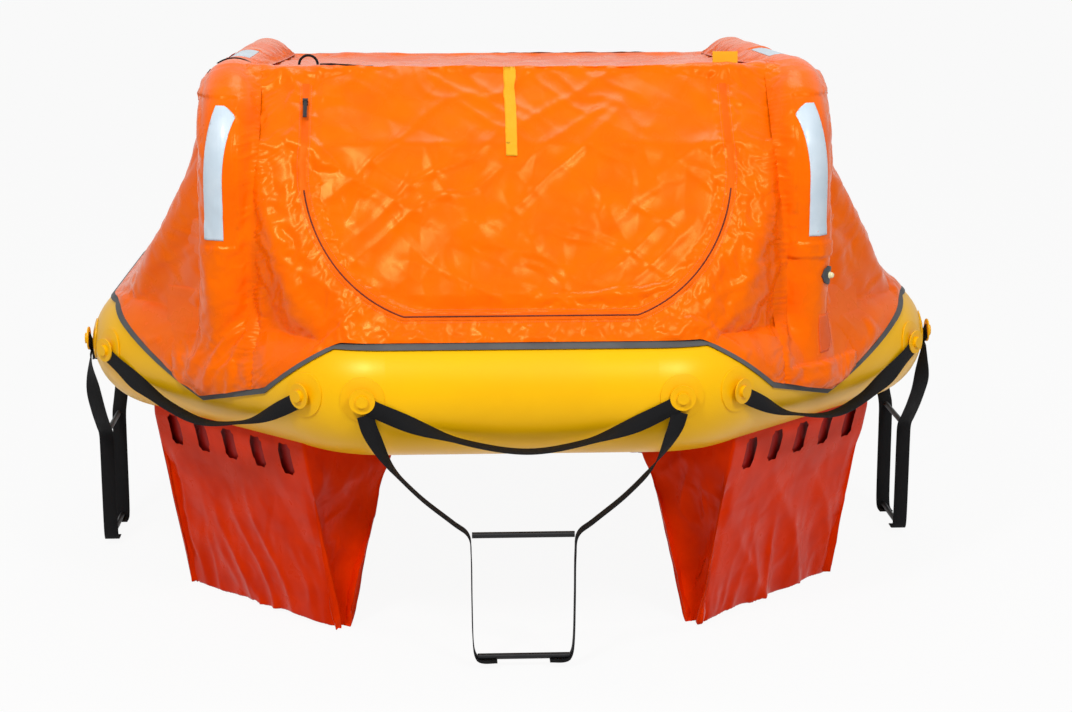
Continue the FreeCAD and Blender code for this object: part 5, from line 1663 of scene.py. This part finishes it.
@dataclass
class Studio:
    """Floor, soft lamps and camera."""

    place: tuple = (-0.1931, -5.7376, 1.3025)
    pitch: float = 12.56
    yaw: float = -2.72
    lens: float = 72.5
    whiteness: float = 0.93
    floor_reach: float = 40.0

    def camera(self) -> None:
        """Set the camera."""
        data = bpy.data.cameras.new("camera")
        data.lens = self.lens
        data.sensor_width = 36.0
        data.sensor_fit = "HORIZONTAL"
        data.clip_end = 60.0
        camera = bpy.data.objects.new("camera", data)
        camera.location = self.place
        camera.rotation_euler = (math.radians(90 - self.pitch), 0.0, math.radians(self.yaw))
        bpy.context.scene.collection.objects.link(camera)
        bpy.context.scene.camera = camera

    def white_to_camera(self, name: str, colour: str) -> bpy.types.Material:
        """Backdrop material that the camera and mirrors see as white, and light meets as paper."""
        graph = Graph(name)
        graph.shader.inputs["Base Color"].default_value = srgb(colour)
        graph.shader.inputs["Roughness"].default_value = 0.9
        path = graph.add("LightPath").outputs
        most = {"operation": "MAXIMUM"}
        gloss = graph.add("Math", most, at0=path["Is Camera Ray"], at1=path["Is Glossy Ray"])
        seen = graph.add("Math", most, at0=gloss.outputs[0], at1=path["Is Transmission Ray"])
        share = graph.add("Math", {"operation": "MULTIPLY"}, at0=seen.outputs[0], at1=self.whiteness)
        white = graph.add("Emission", Strength=1.0)
        mix = graph.add("MixShader", at0=share.outputs[0], at1=graph.shader.outputs[0], at2=white.outputs[0])
        graph.tree.links.new(mix.outputs[0], graph.tree.nodes["Material Output"].inputs["Surface"])
        return graph.material

    def floor(self) -> None:
        """Lay the pale floor under the raft."""
        low = min(corner[2] for corner in CAD_BOX)
        far = self.floor_reach
        corners = [(-far, -far, low), (far, -far, low), (far, far, low), (-far, far, low)]
        floor = new_piece("floor", corners, [(0, 1, 2, 3)])
        floor.data.materials.append(self.white_to_camera("pale_paper", "#D2D2D2"))

    def lamps(self) -> None:
        """Hang the soft lamps and the even world light."""
        world = bpy.data.worlds.new("studio")
        bpy.context.scene.world = world
        world.use_nodes = True
        tree = world.node_tree
        even = tree.nodes["Background"]
        even.inputs["Color"].default_value = (1.0, 1.0, 1.0, 1.0)
        even.inputs["Strength"].default_value = 0.30
        seen = tree.nodes.new("ShaderNodeBackground")
        seen.inputs["Strength"].default_value = 1.0
        path = tree.nodes.new("ShaderNodeLightPath")
        mix = tree.nodes.new("ShaderNodeMixShader")
        share = path.outputs["Is Camera Ray"]
        for ray in ("Is Glossy Ray", "Is Transmission Ray"):
            most = tree.nodes.new("ShaderNodeMath")
            most.operation = "MAXIMUM"
            tree.links.new(share, most.inputs[0])
            tree.links.new(path.outputs[ray], most.inputs[1])
            share = most.outputs[0]
        tree.links.new(share, mix.inputs[0])
        tree.links.new(even.outputs[0], mix.inputs[1])
        tree.links.new(seen.outputs[0], mix.inputs[2])
        tree.links.new(mix.outputs[0], tree.nodes["World Output"].inputs["Surface"])
        for name, place, size, power in (
            ("key", (-1.9, -3.9, 4.2), 1.0, 140.0),
            ("fill", (1.9, -4.2, 3.6), 1.2, 100.0),
            ("top", (0.4, 0.6, 4.6), 2.0, 36.0),
        ):
            data = bpy.data.lights.new(name, "AREA")
            data.shape = "DISK"
            data.size = size
            data.energy = power
            lamp = bpy.data.objects.new(name, data)
            lamp.location = place
            aim = Vector((0.0, 0.0, 0.3)) - Vector(place)
            lamp.rotation_euler = aim.to_track_quat("-Z", "Y").to_euler()
            bpy.context.scene.collection.objects.link(lamp)

    def build(self) -> None:
        """Build the whole studio."""
        bpy.context.scene.view_settings.view_transform = "Standard"
        self.camera()
        self.floor()
        self.lamps()


# --------------------------------------------------------------------------------------
# Assembly
# --------------------------------------------------------------------------------------


SIDES_WITH_LADDERS = ("front", "right", "left")

NODE_FINISHES = {
    "buoyancy_tube": HULL_RUBBER, "floor_panel": FLOOR_FABRIC, "arch_tube_left": HULL_RUBBER,
    "arch_tube_right": HULL_RUBBER, "edge_trim": TRIM_TAPE, "zip_slider": SLIDER_ZINC,
    "zip_pull": SLIDER_ZINC,
    "reflective_tapes": BEADED_TAPE, "arch_band": WEBBING, "lamp_base": LAMP_PLASTIC, "lamp_lens": LENS,
    "label_patch": LABEL_SATIN, "roof_strap": WEBBING, "roof_loop": WEBBING, "roof_tab": YELLOW_WEBBING,
    "door_tie_strap": YELLOW_WEBBING, "lifeline_patches": PATCH_RUBBER, "lifeline_buttons": PATCH_RUBBER,
    "gas_cylinder": BOTTLE_PAINT, "cylinder_head": BRASS, "cylinder_straps": WEBBING, "inflation_pipe": HOSE,
    "inlet_valve": BRASS, "topping_valve": VALVE_PLASTIC, "valve_cap": VALVE_PLASTIC,
    "relief_valve": VALVE_PLASTIC, "equipment_bag": BAG_CLOTH, "painter_patch": PATCH_RUBBER,
    "painter_eye": STEEL,
    **{f"ladder_upper_rung_{side}": RUNG_PLASTIC for side in SIDES_WITH_LADDERS},
    **{f"ladder_lower_rung_{side}": RUNG_PLASTIC for side in SIDES_WITH_LADDERS},
}


def finish_nodes() -> None:
    """Give every CAD node that stays in view its finish."""
    for name, finish in NODE_FINISHES.items():
        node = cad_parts[name]
        material = WARDROBE.material(finish)
        if not node.material_slots:
            node.data.materials.append(material)
        for held in node.material_slots:
            held.material = material


def cut_size(piece: bpy.types.Object, take_up: float = 0.98) -> tuple[tuple[float, float], float]:
    """Size that a made-up panel was cut to, from its developed lengths.

    Args:
        piece: Open sheet with its lengths as the UV map.
        take_up: Cut area over the area of the creased cloth.

    Returns:
        Width and length of the cut, and its area.
    """
    places = np.zeros(2 * len(piece.data.loops))
    piece.data.uv_layers["lengths"].data.foreach_get("uv", places)
    width, length = (float(v) for v in np.ptp(places.reshape(-1, 2), axis=0))
    area = sum(face.area for face in piece.data.polygons) * take_up
    grow = math.sqrt(max(area / (width * length), 1.0))
    return (width * grow, length * grow), area


def declare_cloth(piece: bpy.types.Object, held: str, *supports: str) -> None:
    """Work out the cut size and area of an open panel of cloth, and nothing more."""
    flat, area = cut_size(piece)


def relay(
    node: str, cover: Cover, finish: Finish, thickness: float, step: float = 0.01
) -> bpy.types.Object:
    """Lay a flat fitting of the frame on the finished cloth, so that it follows the creases.

    Args:
        node: Name of the frame's node.
        cover: Finished cloth.
        finish: Finish of the fitting.
        thickness: Thickness of the fitting.
        step: Spacing of its corners.

    Returns:
        The new piece.
    """
    mesh = bmesh.new()
    mesh.from_mesh(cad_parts[node].data)
    bmesh.ops.remove_doubles(mesh, verts=mesh.verts, dist=1e-5)
    corners = np.array([corner.co for corner in mesh.verts])
    for axis in range(3):
        for place in np.arange(corners[:, axis].min() + step / 2, corners[:, axis].max(), step):
            origin, normal = [0.0] * 3, [0.0] * 3
            origin[axis], normal[axis] = place, 1.0
            parts = list(mesh.verts) + list(mesh.edges) + list(mesh.faces)
            bmesh.ops.bisect_plane(mesh, geom=parts, dist=1e-6, plane_co=origin, plane_no=normal)
    mesh.normal_update()
    area = sum(face.calc_area() for face in mesh.faces) / 2
    moves = []
    for corner in mesh.verts:
        place, normal = cover.nearest(corner.co)
        facing = corner.normal.dot(normal)
        moves.append(place + normal * (thickness * (1.15 if facing > 0.1 else 0.15)))
    for corner, place in zip(mesh.verts, moves):
        corner.co = place
    lengths = mesh.loops.layers.uv.new("lengths")
    for face in mesh.faces:
        face.smooth = True
        for loop in face.loops:
            loop[lengths].uv = (loop.vert.co.x, loop.vert.co.y + loop.vert.co.z)
    data = bpy.data.meshes.new(f"{node}_laid")
    mesh.to_mesh(data)
    mesh.free()
    piece = bpy.data.objects.new(f"{node}_laid", data)
    bpy.context.scene.collection.objects.link(piece)
    WARDROBE.dress(piece, finish)
    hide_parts(node)
    return piece


def label_border(cover: Cover) -> bpy.types.Object:
    """Sew the border of the bare label."""
    low, high = (np.array(corner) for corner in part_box("label_patch"))
    near, far = np.array((low[0], low[1], 0.0)), np.array((high[0], high[1], 0.0))
    inset = 0.05
    rows = []
    for first, last in (((0, 0), (1, 0)), ((1, 0), (1, 1)), ((1, 1), (0, 1)), ((0, 1), (0, 0))):
        line = []
        for share in np.linspace(0, 1, 40):
            across, rise = (inset + (1 - 2 * inset) * (a + (b - a) * share) for a, b in zip(first, last))
            start = near + (far - near) * across
            start[2] = low[2] + (high[2] - low[2]) * rise
            place, normal = cover.nearest(Vector(start))
            line.append(place + normal * 0.0022)
        rows.append(stitch_row("label_stitches", np.array(line), 0.0045, 0.0028))
    border = join("label_stitches", rows)
    WARDROBE.dress(border, THREAD)
    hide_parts("label_patch")
    return border


def lamp_lens(cover: Cover) -> bpy.types.Object:
    """Make the lamp's domed lens where its base lies on the cloth."""
    low, high = (Vector(corner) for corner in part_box("lamp_lens"))
    place, normal = cover.nearest((low + high) / 2)
    seat = place + normal * 0.004
    side = normal.orthogonal().normalized()
    other = normal.cross(side)
    profile = [
        (0.0085, 0.0), (0.0085, 0.0022), (0.0072, 0.0024), (0.0070, 0.0060), (0.0058, 0.0090),
        (0.0032, 0.0108),
    ]
    turns = 40
    points, faces = [], []
    for radius, rise in profile:
        for step in range(turns):
            turn = 2 * math.pi * step / turns
            points.append(seat + normal * rise + (side * math.cos(turn) + other * math.sin(turn)) * radius)
    points += [seat + normal * 0.0114, seat - normal * 0.001]
    for ring in range(len(profile) - 1):
        for step in range(turns):
            a, b = ring * turns + step, ring * turns + (step + 1) % turns
            faces.append((a, b, b + turns, a + turns))
    last = (len(profile) - 1) * turns
    for step in range(turns):
        faces.append((last + step, last + (step + 1) % turns, len(points) - 2))
        faces.append(((step + 1) % turns, step, len(points) - 1))
    lens = new_piece("lamp_lens_dome", points, faces)
    WARDROBE.dress(lens, LENS)
    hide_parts("lamp_lens")
    return lens


def attach(piece: bpy.types.Object, body: str = RAFT) -> None:
    """Ride a piece on a body and report it."""
    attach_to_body(piece, body)
    LOG.info("%s: %d faces", piece.name, len(piece.data.polygons))


def build_canopy() -> tuple[list, Entrance]:
    """Build the canopy's cloth panels and the zip.

    Returns:
        The cloth pieces and the entrance.
    """
    entrance = Entrance()
    crisp = Creasing(0.0085, 0.0030, -32, 0.0055, 0.045, 81)
    slack = Creasing(0.0075, 0.0025, 28, 0.0050, 0.040, 84)
    taut = Creasing(0.0060, 0.0018, 60, 0.0040, 0.040, 87, 0.11)
    walls = [
        WallPanel(
            "front_panel", Facing.FRONT, 0.617, 0.863, 0.0068, FORM.front, crisp,
            growth=0.035, frames=24, cap=0.012, seed=11, keep_flat=entrance.flatness,
        ),
        WallPanel(
            "back_panel", Facing.BACK, 0.617, 0.790, 0.010, FORM.front, slack,
            growth=0.030, frames=16, cap=0.014, seed=21,
        ),
        WallPanel(
            "left_panel", Facing.LEFT, 0.690, 0.845, 0.010, FORM.side, taut,
            growth=0.022, frames=16, cap=0.016, seed=31,
        ),
        WallPanel(
            "right_panel", Facing.RIGHT, 0.690, 0.845, 0.010, FORM.side, replace(taut, seed=97),
            growth=0.022, frames=16, cap=0.016, seed=37,
        ),
    ]
    for wall in walls:
        wall.build()
    sleeves = [ArchSleeve("left_sleeve", -1, seed=41), ArchSleeve("right_sleeve", 1, seed=47)]
    for sleeve in sleeves:
        sleeve.build()
    roof = RoofPanel()
    roof.build()
    cloth = [wall.piece for wall in walls] + [sleeve.piece for sleeve in sleeves] + [roof.piece]
    for piece in cloth:
        WARDROBE.dress(piece, CANOPY_NYLON)
        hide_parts("canopy_cover", "door_flap")
        declare_cloth(piece, "stretched", "arch_tube_left", "arch_tube_right")
        attach(piece)
    whole = Cover(cloth)
    for node, finish, thickness, slot in (
        ("reflective_tapes", BEADED_TAPE, 0.0010, "reflective"),
        ("label_patch", LABEL_SATIN, 0.0010, "canopy_orange"),
        ("arch_band", WEBBING, 0.0045, "webbing_black"),
        ("roof_strap", WEBBING, 0.0100, "webbing_black"),
        ("door_tie_strap", YELLOW_WEBBING, 0.0022, "strap_yellow"),
        ("lamp_base", LAMP_PLASTIC, 0.0040, "lamp_grey"),
    ):
        attach(relay(node, whole, finish, thickness))
    attach(lamp_lens(whole))
    attach(label_border(whole))
    cover = Cover([cloth[0]])
    for piece in entrance.build(cover):
        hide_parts("door_zip")
        attach(piece)
    return cloth, entrance


def main() -> None:
    """Build the scene around the frame."""
    logging.basicConfig(level=logging.INFO, format="%(message)s")
    Studio().build()
    finish_nodes()
    build_canopy()
    webbing = Webbing()
    for side in SIDE_BEARINGS:
        band = webbing.lifeline(side)
        WARDROBE.dress(band, WEBBING)
        attach(band)
    for side in SIDES_WITH_LADDERS:
        straps = webbing.ladder(side)
        WARDROBE.dress(straps, WEBBING)
        attach(straps)
    for number, side in enumerate(("front_right", "back_right", "back_left", "front_left")):
        bag = WaterPocket(side)
        # The dark strip behind the slots is painted shade, standing in for the pocket's shadowed inside.
        shade_strip = bag.shade_strip()
        WARDROBE.dress(shade_strip, SLOT_SHADE_NYLON)
        declare_cloth(shade_strip, "hung", "buoyancy_tube")
        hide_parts(f"pocket_{side}")
        attach(shade_strip)
        pocket = bag.build(60 + 10 * number)
        WARDROBE.dress(pocket, POCKET_NYLON)
        declare_cloth(pocket, "hung", "buoyancy_tube")
        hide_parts(f"pocket_{side}")
        attach(pocket)


if __name__ == "__main__":
    main()
